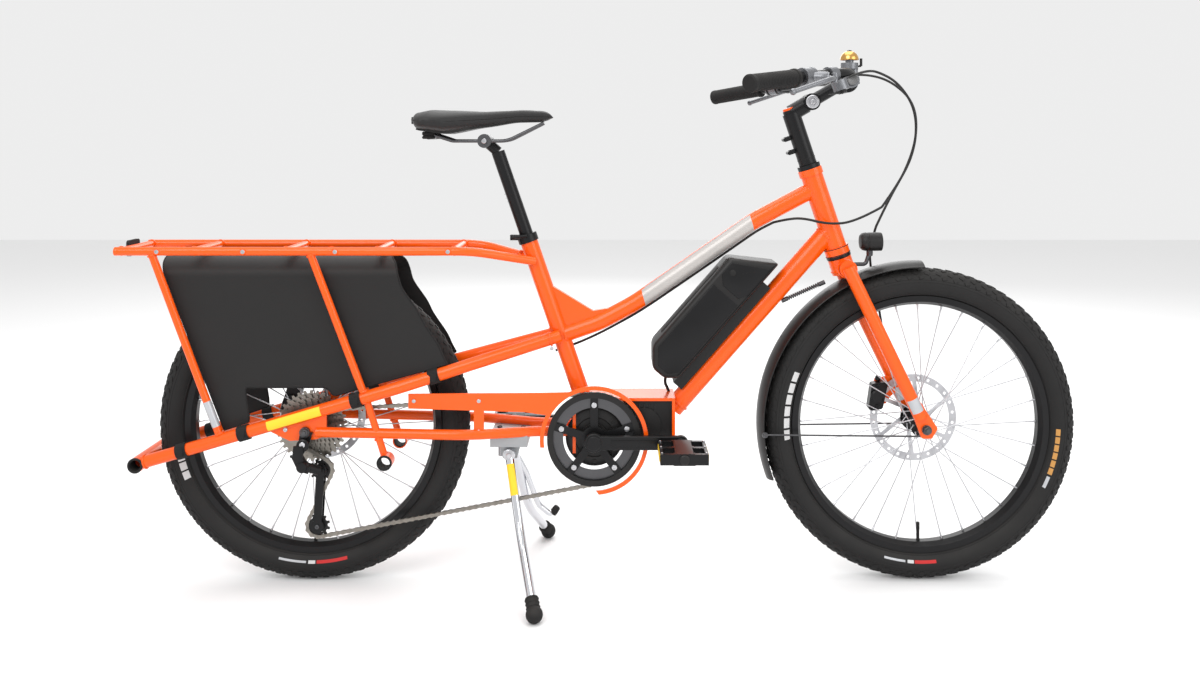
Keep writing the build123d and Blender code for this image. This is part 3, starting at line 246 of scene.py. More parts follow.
def weave_group():
    """A plain weave of two thread directions: a tone and a height."""
    group, into, out = new_group("Plain weave", [("Threads", 1200.0)], ["Tone", "Height"])
    place = group.nodes.new("ShaderNodeTexCoord")
    waves = []
    for direction in ("X", "Z"):
        wave = group.nodes.new("ShaderNodeTexWave")
        wave.bands_direction = direction
        wave.wave_profile = "SIN"
        wave.inputs["Distortion"].default_value = 0.6
        group.links.new(place.outputs["Object"], wave.inputs["Vector"])
        group.links.new(into.outputs["Threads"], wave.inputs["Scale"])
        waves.append(wave.outputs["Fac"])
    height = math_node(group, "MAXIMUM", waves[0], waves[1])
    group.links.new(height, out.inputs["Height"])
    group.links.new(math_node(group, "MULTIPLY", waves[0], waves[1]), out.inputs["Tone"])
    return group


GROUPS = {}


def shader_group(name):
    """A shared shader group, built when it is first asked for."""
    builders = {"grain": grain_group, "dust": dust_group, "streaks": brushed_group,
                "weave": weave_group}
    if name not in GROUPS:
        GROUPS[name] = builders[name]()
    return GROUPS[name]


def placed_group(tree, name, **values):
    """A shared group placed in a material with its own values."""
    node = tree.nodes.new("ShaderNodeGroup")
    node.node_tree = shader_group(name)
    for label, value in values.items():
        node.inputs[label.replace("_", " ").capitalize()].default_value = value
    return node


def mix_colours(tree, mask, first, second):
    """A colour that runs from first to second as the mask runs from 0 to 1."""
    node = tree.nodes.new("ShaderNodeMix")
    node.data_type = "RGBA"
    for value, label in ((first, "A"), (second, "B")):
        socket = [s for s in node.inputs if s.name == label and s.type == "RGBA"][0]
        if isinstance(value, bpy.types.NodeSocket):
            tree.links.new(value, socket)
        else:
            socket.default_value = (*value, 1)
    factor = [s for s in node.inputs if s.name == "Factor" and s.type == "VALUE"][0]
    tree.links.new(mask, factor)
    return [s for s in node.outputs if s.type == "RGBA"][0]


def ranged(tree, value, low, high):
    """A value from 0 to 1 mapped to a range."""
    node = tree.nodes.new("ShaderNodeMapRange")
    node.inputs["To Min"].default_value = low
    node.inputs["To Max"].default_value = high
    tree.links.new(value, node.inputs["Value"])
    return node.outputs["Result"]


def relief(tree, height, strength, distance):
    """A bump from a height socket."""
    node = tree.nodes.new("ShaderNodeBump")
    node.inputs["Strength"].default_value = strength
    node.inputs["Distance"].default_value = distance
    tree.links.new(height, node.inputs["Height"])
    return node.outputs["Normal"]


MATERIALS = {}


def surface(
    name,
    tone,
    deep,
    rough,
    metallic=0.0,
    coat=0.0,
    pattern="grain",
    relief_size=(0.2, 0.0002),
    dust=0.12,
    sheen=0.0,
    specular=0.3,
    **values,
):
    """A material with a toned, grained base, a roughness range and a little settled dust."""
    if name in MATERIALS:
        return MATERIALS[name]
    material = bpy.data.materials.new(name)
    material.use_nodes = True
    tree = material.node_tree
    shader = tree.nodes["Principled BSDF"]
    shader.inputs["Metallic"].default_value = metallic
    shader.inputs["Coat Weight"].default_value = coat
    shader.inputs["Coat Roughness"].default_value = 0.06
    shader.inputs["Sheen Weight"].default_value = sheen
    shader.inputs["Specular IOR Level"].default_value = specular
    shade = placed_group(tree, pattern, **values)
    settled = placed_group(tree, "dust", amount=dust)
    base = mix_colours(tree, shade.outputs["Tone"], deep, tone)
    dusty = mix_colours(tree, settled.outputs["Mask"], base, (0.30, 0.28, 0.25))
    tree.links.new(dusty, shader.inputs["Base Color"])
    tree.links.new(ranged(tree, shade.outputs["Tone"], *rough), shader.inputs["Roughness"])
    tree.links.new(relief(tree, shade.outputs["Height"], *relief_size), shader.inputs["Normal"])
    MATERIALS[name] = material
    return material


def darker(tone, share):
    """A colour scaled by a share."""
    return tuple(value * share for value in tone)


# Each finish: its name, its tone and deeper tone, its range of roughness, and what else it sets. A tone may name
# one of the bicycle's colours, and a deeper tone may be a share of the tone.
FINISHES = {
    "paint": ("Gloss paint", "paint", "paint_shade", (0.24, 0.36),
        {"coat": 0.28, "relief_size": (0.05, 0.0001), "dust": 0.02, "specular": 0.25,
         "grain_size": 260.0, "patch_size": 5.0}),
    "tyre": ("Tyre rubber", "rubber", 0.55, (0.55, 0.8),
        {"relief_size": (0.35, 0.0003), "dust": 0.10, "grain_size": 900.0, "patch_size": 22.0}),
    "rubber": ("Moulded rubber", "rubber", 0.6, (0.6, 0.85),
        {"relief_size": (0.3, 0.0002), "grain_size": 1400.0, "patch_size": 30.0}),
    "plastic": ("Moulded plastic", "plastic", 0.7, (0.36, 0.5),
        {"relief_size": (0.25, 0.0001), "dust": 0.06, "grain_size": 1800.0, "patch_size": 12.0}),
    "fender": ("Fender plastic", "plastic", 0.7, (0.28, 0.42),
        {"relief_size": (0.1, 0.0001), "dust": 0.06, "grain_size": 1200.0, "patch_size": 9.0}),
    "alloy": ("Anodised alloy", "alloy", 0.7, (0.26, 0.4),
        {"metallic": 0.35, "dust": 0.05, "relief_size": (0.08, 0.0001), "grain_size": 2200.0,
         "patch_size": 16.0}),
    "grey": ("Grey alloy", (0.23, 0.235, 0.25), (0.15, 0.155, 0.165), (0.3, 0.45),
        {"metallic": 0.85, "relief_size": (0.1, 0.0001), "grain_size": 1800.0, "patch_size": 18.0}),
    "cast": ("Cast alloy", (0.42, 0.43, 0.44), (0.30, 0.31, 0.32), (0.4, 0.6),
        {"metallic": 0.7, "relief_size": (0.4, 0.0003), "grain_size": 700.0, "patch_size": 20.0}),
    "chrome": ("Bright chrome", (0.76, 0.77, 0.80), (0.62, 0.63, 0.66), (0.08, 0.2),
        {"metallic": 1.0, "relief_size": (0.03, 0.0001), "dust": 0.08, "grain_size": 400.0,
         "patch_size": 7.0}),
    "steel": ("Bright steel", (0.60, 0.60, 0.62), (0.42, 0.42, 0.44), (0.2, 0.38),
        {"metallic": 1.0, "relief_size": (0.08, 0.0001), "dust": 0.05, "grain_size": 1500.0,
         "patch_size": 24.0}),
    "dark steel": ("Dark steel", (0.12, 0.12, 0.125), (0.06, 0.06, 0.065), (0.28, 0.45),
        {"metallic": 0.9, "relief_size": (0.1, 0.0001), "grain_size": 1500.0, "patch_size": 24.0}),
    # Chain and sprocket steel: the warm brown in both tones is a painted reflection of the orange frame; the grey
    # steel is the real colour.
    "chain": ("Oiled chain steel", (0.36, 0.34, 0.31), (0.13, 0.115, 0.095), (0.25, 0.5),
        {"metallic": 1.0, "relief_size": (0.15, 0.0002), "dust": 0.1, "grain_size": 900.0,
         "patch_size": 60.0}),
    "front disc": ("Front disc steel", (0.56, 0.56, 0.58), (0.38, 0.38, 0.40), (0.22, 0.4),
        {"metallic": 1.0, "pattern": "streaks", "relief_size": (0.12, 0.0001), "dust": 0.03,
         "streaks": 1600.0, "centre_x": front_axle.x, "centre_z": front_axle.z}),
    "rear disc": ("Rear disc steel", (0.56, 0.56, 0.58), (0.38, 0.38, 0.40), (0.22, 0.4),
        {"metallic": 1.0, "pattern": "streaks", "relief_size": (0.12, 0.0001), "dust": 0.03,
         "streaks": 1600.0, "centre_x": rear_axle.x, "centre_z": rear_axle.z}),
    "skirt": ("Coated cloth", "skirt", 0.6, (0.5, 0.66),
        {"pattern": "weave", "relief_size": (0.22, 0.00025), "dust": 0.05, "sheen": 0.12,
         "threads": 900.0}),
    "strap": ("Black webbing", (0.016, 0.016, 0.017), (0.006, 0.006, 0.006), (0.7, 0.9),
        {"pattern": "weave", "relief_size": (0.5, 0.0004), "dust": 0.05, "threads": 700.0}),
    "saddle": ("Saddle cover", "saddle", 0.6, (0.42, 0.6),
        {"relief_size": (0.5, 0.0004), "dust": 0.05, "sheen": 0.08, "grain_size": 520.0,
         "patch_size": 14.0}),
    "cable": ("Cable jacket", (0.011, 0.011, 0.012), (0.006, 0.006, 0.006), (0.4, 0.55),
        {"relief_size": (0.1, 0.0001), "grain_size": 900.0, "patch_size": 30.0}),
    "brass": ("Polished brass", (0.72, 0.42, 0.13), (0.52, 0.28, 0.08), (0.14, 0.3),
        {"metallic": 1.0, "relief_size": (0.05, 0.0001), "grain_size": 700.0, "patch_size": 26.0}),
    "decal": ("Silver band", (0.50, 0.475, 0.455), (0.38, 0.36, 0.345), (0.3, 0.42),
        {"metallic": 0.2, "coat": 0.2, "relief_size": (0.03, 0.0001), "dust": 0.03, "grain_size": 900.0,
         "patch_size": 8.0}),
    "reflector": ("Grey reflective tape", (0.52, 0.53, 0.55), (0.40, 0.41, 0.43), (0.25, 0.4),
        {"metallic": 0.3, "relief_size": (0.3, 0.0002), "grain_size": 1600.0, "patch_size": 40.0}),
    "label": ("Blank label", "label", 0.8, (0.35, 0.5),
        {"relief_size": (0.05, 0.0001), "dust": 0.03, "grain_size": 600.0, "patch_size": 20.0}),
    "tan": ("Tan stripe", (0.52, 0.26, 0.07), (0.42, 0.20, 0.05), (0.55, 0.7),
        {"relief_size": (0.2, 0.0002)}),
    "red": ("Red stripe", (0.55, 0.02, 0.02), (0.42, 0.015, 0.015), (0.55, 0.7),
        {"relief_size": (0.2, 0.0002)}),
    "white": ("White stripe", (0.6, 0.6, 0.6), (0.5, 0.5, 0.5), (0.5, 0.65),
        {"relief_size": (0.2, 0.0002)}),
    "tail lens": ("Tail lens", (0.35, 0.005, 0.008), (0.25, 0.004, 0.006), (0.12, 0.2),
        {"coat": 1.0, "relief_size": (0.1, 0.0002), "dust": 0.03}),
    "screen": ("Display glass", (0.02, 0.022, 0.025), (0.012, 0.014, 0.016), (0.06, 0.12),
        {"coat": 1.0, "relief_size": (0.02, 0.0001), "dust": 0.03}),
}


def finish(name):
    """The material of one of the bicycle's finishes."""
    if name == "lens":
        return lens_glass()
    label, tone, deep, rough, settings = FINISHES[name]
    hues = bpy.context.scene.bicycle_colours
    if isinstance(tone, str):
        tone = tuple(getattr(hues, tone))
    if isinstance(deep, str):
        deep = tuple(getattr(hues, deep))
    elif isinstance(deep, float):
        deep = darker(tone, deep)
    return surface(label, tone, deep, rough, **settings)


def lens_glass():
    """Clear lamp glass with faint ribs."""
    if "Lamp glass" in MATERIALS:
        return MATERIALS["Lamp glass"]
    material = bpy.data.materials.new("Lamp glass")
    material.use_nodes = True
    tree = material.node_tree
    shader = tree.nodes["Principled BSDF"]
    shader.inputs["Transmission Weight"].default_value = 0.85
    shader.inputs["IOR"].default_value = 1.49
    grain = placed_group(tree, "grain", grain_size=500.0, patch_size=40.0)
    tree.links.new(mix_colours(tree, grain.outputs["Tone"], (0.85, 0.87, 0.9), (0.95, 0.96, 0.98)),
                   shader.inputs["Base Color"])
    tree.links.new(ranged(tree, grain.outputs["Tone"], 0.03, 0.08), shader.inputs["Roughness"])
    tree.links.new(relief(tree, grain.outputs["Height"], 0.1, 0.0003), shader.inputs["Normal"])
    MATERIALS["Lamp glass"] = material
    return material


# ---------------------------------------------------------------- modelling helpers


def deselect():
    """Leave edit mode with nothing selected."""
    if bpy.context.object is not None and bpy.context.object.mode != "OBJECT":
        bpy.ops.object.mode_set(mode="OBJECT")
    bpy.ops.object.select_all(action="DESELECT")


def pick(*pieces):
    """Select these pieces alone, the last one active."""
    deselect()
    for piece in pieces:
        piece.select_set(True)
    bpy.context.view_layer.objects.active = pieces[-1]


def edit(piece, select=True):
    """Enter edit mode on one piece, with everything or nothing selected."""
    pick(piece)
    bpy.ops.object.mode_set(mode="EDIT")
    bpy.ops.mesh.select_all(action="SELECT" if select else "DESELECT")


def done(piece):
    """Leave edit mode."""
    bpy.ops.object.mode_set(mode="OBJECT")
    return piece


def apply_modifier(piece, kind, **settings):
    """Add a modifier with its settings and apply it."""
    pick(piece)
    modifier = piece.modifiers.new(kind.title(), kind)
    for label, value in settings.items():
        setattr(modifier, label, value)
    bpy.ops.object.modifier_apply(modifier=modifier.name)
    return piece


def bevelled(piece, width, segments=2, angle=35):
    """Round a piece's sharp edges."""
    return apply_modifier(piece, "BEVEL", width=width, segments=segments, limit_method="ANGLE",
                          angle_limit=math.radians(angle), harden_normals=False)


def set_down(piece, matrix=None):
    """Move a piece by a matrix and apply its place to its mesh."""
    pick(piece)
    if matrix is not None:
        piece.matrix_world = matrix @ piece.matrix_world
        bpy.context.view_layer.update()
    bpy.ops.object.transform_apply(location=True, rotation=True, scale=True)
    return piece


def facing(origin, direction):
    """A matrix that puts local +Z along a direction, at an origin."""
    turn = Vector(direction).to_track_quat("Z", "Y").to_matrix().to_4x4()
    return Matrix.Translation(Vector(origin)) @ turn


def turned(profile, origin, direction, sides=48):
    """A round piece drawn out ring by ring from (radius, distance) points along an axis."""
    deselect()
    radius, height = profile[0]
    bpy.ops.mesh.primitive_circle_add(vertices=sides, radius=radius, fill_type="NGON",
                                      location=(0, 0, height))
    piece = bpy.context.object
    set_down(piece)
    edit(piece)
    for new_radius, new_height in profile[1:]:
        bpy.ops.mesh.extrude_region_move(TRANSFORM_OT_translate={"value": (0, 0, new_height - height)})
        scale = new_radius / radius
        bpy.ops.transform.resize(value=(scale, scale, 1), center_override=(0, 0, new_height))
        radius, height = new_radius, new_height
    bpy.ops.mesh.select_all(action="SELECT")
    bpy.ops.mesh.normals_make_consistent(inside=False)
    done(piece)
    return set_down(piece, facing(origin, direction))


def slab(outline, low, high, bevel=0.0, segments=2):
    """A flat piece cut to an (x, z) outline, from y = low to y = high."""
    deselect()
    bpy.ops.mesh.primitive_circle_add(vertices=len(outline), radius=1, fill_type="NGON")
    piece = bpy.context.object
    for vertex, (x, z) in zip(piece.data.vertices, outline):
        vertex.co = (x, low, z)
    edit(piece)
    bpy.ops.mesh.extrude_region_move(TRANSFORM_OT_translate={"value": (0, high - low, 0)})
    bpy.ops.mesh.select_all(action="SELECT")
    bpy.ops.mesh.normals_make_consistent(inside=False)
    done(piece)
    if bevel:
        bevelled(piece, bevel, segments)
    return piece


def block(low, high, bevel=0.0, segments=2):
    """A box between two corners with rounded edges."""
    outline = [(low[0], low[2]), (high[0], low[2]), (high[0], high[2]), (low[0], high[2])]
    return slab(outline, low[1], high[1], bevel, segments)


def tube(points, radius, sides=5, kind="NURBS", closed=False, steps=8):
    """A round cord or wire along a smooth line."""
    line = bpy.data.curves.new("line", "CURVE")
    line.dimensions = "3D"
    spline = line.splines.new(kind)
    spline.points.add(len(points) - 1)
    for point, place in zip(spline.points, points):
        point.co = (*place, 1)
    spline.order_u = 3
    spline.use_endpoint_u = not closed
    spline.use_cyclic_u = closed
    line.resolution_u = steps
    line.bevel_depth = radius
    line.bevel_resolution = sides
    line.use_fill_caps = True
    piece = bpy.data.objects.new("line", line)
    bpy.context.scene.collection.objects.link(piece)
    pick(piece)
    bpy.ops.object.convert(target="MESH")
    return bpy.context.object


def rod(start, end, radius, sides=24, bevel=0.0):
    """A straight round bar with eased ends."""
    start, end = Vector(start), Vector(end)
    length = (end - start).length
    ease = bevel or radius * 0.12
    profile = [(radius - ease, 0), (radius, ease), (radius, length - ease), (radius - ease, length)]
    return turned(profile, start, end - start, sides)


def joined(pieces):
    """Several pieces as one object."""
    if len(pieces) > 1:
        pick(*pieces)
        bpy.ops.object.join()
    return bpy.context.view_layer.objects.active if len(pieces) > 1 else pieces[0]


def copied(piece, matrix):
    """A copy of a piece with its own mesh, moved by a matrix."""
    twin = piece.copy()
    twin.data = piece.data.copy()
    bpy.context.scene.collection.objects.link(twin)
    return set_down(twin, matrix)


def around(piece, count, centre, direction, sweep=TURN):
    """A piece repeated round an axis, joined into one."""
    edit(piece)
    share = (count - 1) / count if sweep == TURN else 1
    bpy.ops.mesh.spin(steps=count - 1, dupli=True, angle=sweep * share, center=tuple(centre),
                      axis=tuple(direction))
    return done(piece)


def mirrored(piece):
    """A piece together with its twin across the middle plane."""
    edit(piece)
    bpy.ops.mesh.duplicate()
    bpy.ops.transform.resize(value=(1, -1, 1), center_override=(0, 0, 0))
    bpy.ops.mesh.flip_normals()
    return done(piece)


def placed(piece, name, body, finish_name, angle=35, replaces=()):
    """Name a finished piece, smooth it, give it its finish and let it ride on its body."""
    piece.name = name
    piece.data.name = name
    piece.data.materials.clear()
    piece.data.materials.append(finish(finish_name))
    pick(piece)
    bpy.ops.object.shade_smooth_by_angle(angle=math.radians(angle))
    if replaces:
        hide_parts(*replaces)
    if body:
        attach(piece, body)
    return piece


def coat_node(node, finish_name, smooth=True):
    """Give a CAD node its finish."""
    piece = NODES[node]
    piece.data.materials.clear()
    piece.data.materials.append(finish(finish_name))
    return piece


def bolt_head(origin, direction, radius, height):
    """A socket-head bolt with a six-sided recess."""
    head = turned([(radius * 0.9, 0), (radius, height * 0.15), (radius, height * 0.8),
                   (radius * 0.85, height)],
                  origin, direction, 24)
    socket_tool = turned([(radius * 0.5, height * 0.4), (radius * 0.5, height * 1.3)], origin,
                         direction, 6)
    apply_modifier(head, "BOOLEAN", operation="DIFFERENCE", object=socket_tool, solver="EXACT")
    bpy.data.objects.remove(socket_tool)
    return head


# ---------------------------------------------------------------- shared shapes


def patch(place, columns, rows, thickness=0.0):
    """A curved sheet whose points come from place(u, v), given a thickness."""
    deselect()
    bpy.ops.mesh.primitive_grid_add(x_subdivisions=columns, y_subdivisions=rows, size=2)
    piece = bpy.context.object
    for vertex in piece.data.vertices:
        vertex.co = Vector(place((vertex.co.x + 1) / 2, (vertex.co.y + 1) / 2))
    edit(piece)
    bpy.ops.mesh.normals_make_consistent(inside=False)
    done(piece)
    if thickness:
        apply_modifier(piece, "SOLIDIFY", thickness=thickness, offset=0)
    return piece


def hoop(centre, direction, radius, thickness, around_steps=36, section_steps=8):
    """A plain ring of round section."""
    deselect()
    turn = Vector(direction).to_track_quat("Z", "Y").to_euler()
    bpy.ops.mesh.primitive_torus_add(
        major_segments=around_steps, minor_segments=section_steps, major_radius=radius,
        minor_radius=thickness, location=tuple(centre), rotation=turn,
    )
    return set_down(bpy.context.object)


def toothed(centre, low, high, root, tip, teeth):
    """A flat wheel with a tooth at each step round its edge."""
    outline = []
    for tooth in range(teeth):
        for share, radius in ((0.0, root), (0.28, root), (0.42, tip), (0.72, tip), (0.86, root)):
            angle = TURN * (tooth + share) / teeth
            outline.append((centre[0] + radius * math.cos(angle), centre[2] + radius * math.sin(angle)))
    return slab(outline, low, high)


def bored(piece, origin, direction, radius, depth, count=1, centre=None, sides=24):
    """Cut one hole, or a ring of holes, right through a piece."""
    tool = turned([(radius, -depth), (radius, depth)], origin, direction, sides)
    if count > 1:
        around(tool, count, centre, direction)
    apply_modifier(piece, "BOOLEAN", operation="DIFFERENCE", object=tool, solver="EXACT")
    bpy.data.objects.remove(tool)
    return piece


def mm(*values):
    """Millimetres as metres."""
    return Vector(values) * millimetre


def between(start, end, share):
    """The point a share of the way from start to end."""
    return Vector(start).lerp(Vector(end), share)


def frame_axes(direction):
    """Two directions square to an axis, the first in the side plane where it can be."""
    direction = Vector(direction).normalized()
    side = ACROSS if abs(direction.y) < 0.9 else UP
    first = direction.cross(side).normalized()
    return first, direction.cross(first).normalized()


def wrap(start, end, radius, angle_low, angle_high, slant=0.0, columns=24, rows=12, thickness=0.0004):
    """A thin label bent round part of a straight tube; angle 0 faces the rider's right."""
    start, end = Vector(start), Vector(end)
    length = (end - start).length
    axis = (end - start) / length
    right = (-ACROSS - axis * (-ACROSS).dot(axis)).normalized()
    over = axis.cross(right).normalized()

    def place(u, v):
        angle = math.radians(angle_low + (angle_high - angle_low) * v)
        out = right * math.cos(angle) + over * math.sin(angle)
        return start + axis * (u * length + slant * (v - 0.5)) + out * radius

    return patch(place, columns, rows, thickness)


# ---------------------------------------------------------------- wheels

RING = tyre_radius - tyre_half
WHEELS = (
    ("front", front_axle, "front_wheel", (0.022, -0.030), 0.023, 0.035),
    ("rear", rear_axle, "rear_wheel", (0.032, -0.020), 0.026, 0.052),
)


KNOBS_ROUND = 80
KNOB_ROWS = (-62, -44, -22, 0, 22, 44, 62)
KNOB_TURN = 24
SIDEWALL_LINES = ((-0.0205, 0.0009), (0.004, 0.0005), (0.009, 0.0006))


class BICYCLE_OT_tyres(bpy.types.Operator):
    """Tyre casings with tread blocks, bead lines and blank sidewall stripes"""

    bl_idname = "bicycle.tyres"
    bl_label = "Tyres"

    def execute(self, context):
        depth = context.scene.bicycle_sizes.tread_depth
        for name, axle, body, *_ in WHEELS:
            parts = [hoop(axle, ACROSS, RING, tyre_half - depth, 144, 36)]
            for row, tilt in enumerate(KNOB_ROWS):
                knob = block((-0.0048, -0.0032, 0.0004 - tyre_half),
                             (0.0048, 0.0032, depth + 0.0008 - tyre_half))
                matrix = (
                    Matrix.Translation(axle)
                    @ Matrix.Rotation(TURN / (2 * KNOBS_ROUND) * (row % 2), 4, "Y")
                    @ Matrix.Translation((0, 0, -RING))
                    @ Matrix.Rotation(math.radians(tilt), 4, "X")
                    @ Matrix.Rotation(math.radians(KNOB_TURN if row % 2 else -KNOB_TURN) * (tilt != 0),
                                      4, "Z")
                )
                parts.append(around(set_down(knob, matrix), KNOBS_ROUND, axle, ACROSS))
            for away, line in SIDEWALL_LINES:
                y = math.sqrt((tyre_half - depth) ** 2 - away**2)
                parts.append(mirrored(hoop(axle + Vector((0, y, 0)), ACROSS, RING + away, line, 128,
                                           6)))
            placed(joined(parts), f"{name}_tyre_tread", body, "tyre", 40, (f"{name}_tyre",))
            self.stripes(name, axle, body, tyre_half - depth)
        return {"FINISHED"}

    def stripes(self, name, axle, body, reach):
        marks = {
            "front": (
                ("red", -93, -84, -0.0125, -0.0065, 1), ("white", -96, -93.4, -0.0125, -0.0065, 1),
                ("reflector", -106, -97, -0.0115, -0.0075, 1), ("tan", -21, -1, -0.0135, -0.0055, 6),
                ("reflector", -27, -22, -0.0125, -0.0065, 1), ("white", 157, 187, -0.018, -0.0065, 6),
            ),
            "rear": (
                ("red", -88, -75, -0.0125, -0.0065, 1), ("white", -91.5, -88.6, -0.0125, -0.0065, 1),
                ("reflector", -104, -92.5, -0.0115, -0.0075, 1),
                ("white", 192, 204, -0.018, -0.0065, 3),
            ),
        }
        for number, (hue, start, end, low, high, count) in enumerate(marks[name]):
            share = (end - start) / count
            parts = []
            for item in range(count):
                first, last = start + share * item, start + share * (item + 0.82 if count > 1 else item + 1)

                def place(u, v, first=first, last=last):
                    angle = math.radians(first + (last - first) * u)
                    away = low + (high - low) * v
                    y = math.sqrt(reach**2 - away**2) + 0.00035
                    radius = RING + away
                    return (axle.x + radius * math.cos(angle), -y, axle.z + radius * math.sin(angle))

                parts.append(patch(place, 10, 3, 0.0005))
            placed(mirrored(joined(parts)), f"{name}_tyre_stripe_{number}", body, hue)


class BICYCLE_OT_wheels(bpy.types.Operator):
    """Spoke nipples, hub shells, axle nuts, disc bolts and valves"""

    bl_idname = "bicycle.wheels"
    bl_label = "Wheel details"

    def execute(self, context):
        for name, axle, body, flanges, flange_radius, disc_y in WHEELS:
            rim = name + "_rim"
            coat_node(rim, "alloy")
            nipples, heads = [], []
            for flange in flanges:
                for lean in (-62, 62):
                    start = 0 if flange > 0 else 11.25
                    rim_angle = math.radians(start + (22.5 if lean > 0 else 0))
                    hub_angle = rim_angle + math.radians(lean)
                    hub_reach = flange_radius - 0.004
                    inner = axle + Vector((hub_reach * math.cos(hub_angle),
                                           flange + (0.0026 if lean > 0 else -0.0026),
                                           hub_reach * math.sin(hub_angle)))
                    outer = axle + Vector((0.2412 * math.cos(rim_angle), math.copysign(0.004, flange),
                                           0.2412 * math.sin(rim_angle)))
                    profile = [(0.0021, 0), (0.0022, 0.003), (0.0019, 0.005), (0.0017, 0.0125),
                               (0.0013, 0.014)]
                    nipples.append(around(turned(profile, outer, inner - outer, 10), 8, axle, ACROSS))
                    heads.append(around(turned([(0.0016, -0.0012), (0.0021, 0), (0.0016, 0.0012)],
                                               inner, ACROSS, 10),
                                        8, axle, ACROSS))
            placed(joined(nipples), f"{name}_nipples", body, "steel")
            placed(joined(heads), f"{name}_spoke_heads", body, "steel")
            self.hub(name, axle, body, flanges, flange_radius, disc_y)
            valve = axle - Vector((0, 0, 0.2448))
            profile = [(0.0036, 0), (0.0036, 0.008), (0.003, 0.0085), (0.003, 0.026), (0.0034, 0.027),
                       (0.0034, 0.040),
                       (0.0028, 0.0415)]
            placed(turned(profile, valve, UP, 20), f"{name}_valve_cap", body, "rubber")
        return {"FINISHED"}

    def hub(self, name, axle, body, flanges, flange_radius, disc_y):
        barrel = 0.0154 if name == "front" else 0.0174
        low, high = (-0.0462, 0.0338) if name == "front" else (-0.0262, 0.0508)
        edge = flange_radius + 0.0005
        profile = [(0.0095, low), (barrel - 0.001, low), (barrel, low + 0.001)]
        for flange in sorted(flanges):
            if flange - 0.0022 > low + 0.002:
                profile.append((barrel, flange - 0.004))
            profile += [(edge - 0.001, flange - 0.0022), (edge, flange - 0.0012),
                        (edge, flange + 0.0012),
                        (edge - 0.001, flange + 0.0022), (barrel, flange + 0.004)]
        profile += [(barrel, high - 0.001), (barrel - 0.001, high)]
        centre = Vector((axle.x, 0, axle.z))
        placed(turned(profile, centre, ACROSS, 56), f"{name}_hub_shell", body, "alloy",
               30)
        bolt = bolt_head(centre + Vector((0.021, disc_y - 0.001, 0)), -ACROSS, 0.0026, 0.0024)
        bolts = around(bolt, 6, centre, ACROSS)
        far = bolt_head(centre + Vector((0.021, disc_y + 0.001, 0)), ACROSS, 0.0026, 0.0024)
        far = around(far, 6, centre, ACROSS)
        placed(joined([bolts, far]), f"{name}_disc_bolts", body, "dark steel")
        ring = turned([(0.0262, disc_y - 0.0014), (0.0265, disc_y - 0.0011), (0.0265, disc_y + 0.0011),
                       (0.0262, disc_y + 0.0014)], centre, ACROSS, 48)
        placed(ring, f"{name}_disc_carrier", body, "alloy")
        nut_body, nut_y = ("fork", 0.0648) if name == "front" else ("frame", 0.0798)
        nuts = []
        for side in (-1, 1):
            nuts.append(turned([(0.0092, -0.001), (0.0096, 0), (0.0096, 0.001), (0.0074, 0.002)],
                               centre + Vector((0, side * (nut_y - 0.004), 0)), ACROSS * side, 40))
            nuts.append(turned([(0.0082, 0), (0.0084, 0.001), (0.0084, 0.0055), (0.0070, 0.0068)],
                               centre + Vector((0, side * (nut_y - 0.002), 0)), ACROSS * side, 6))
            nuts.append(turned([(0.0046, 0), (0.0046, 0.0078), (0.0038, 0.0086)],
                               centre + Vector((0, side * (nut_y - 0.001), 0)), ACROSS * side, 20))
        placed(joined(nuts), f"{name}_axle_nuts", nut_body, "dark steel")


# ---------------------------------------------------------------- drive

CHAIN_Y = -0.049
COGS = ((34, -0.029), (30, -0.033), (26, -0.037), (23, -0.041), (20, -0.045), (17, -0.049),
        (15, -0.053), (13, -0.057))
guide_centre = pivot("guide_pulley_spin")
tension_centre = pivot("tension_pulley_spin")


def pitch_radius(teeth):
    """The radius of a sprocket's chain line."""
    pitch = bpy.context.scene.bicycle_sizes.chain_pitch
    return pitch / (2 * math.sin(math.pi / teeth))


def belt(first, second):
    """Where a taut chain leaves one sprocket and meets the next; turn 1 is anticlockwise."""
    (start, start_radius, start_turn), (end, end_radius, end_turn) = first, second
    dx, dz = end.x - start.x, end.z - start.z
    span, heading = math.hypot(dx, dz), math.atan2(dz, dx)
    away = heading - math.acos((start_radius * start_turn - end_radius * end_turn) / span)
    out = Vector((math.cos(away), 0, math.sin(away)))
    leave = Vector((start.x, 0, start.z)) + out * start_radius * start_turn
    meet = Vector((end.x, 0, end.z)) + out * end_radius * end_turn
    return leave, meet


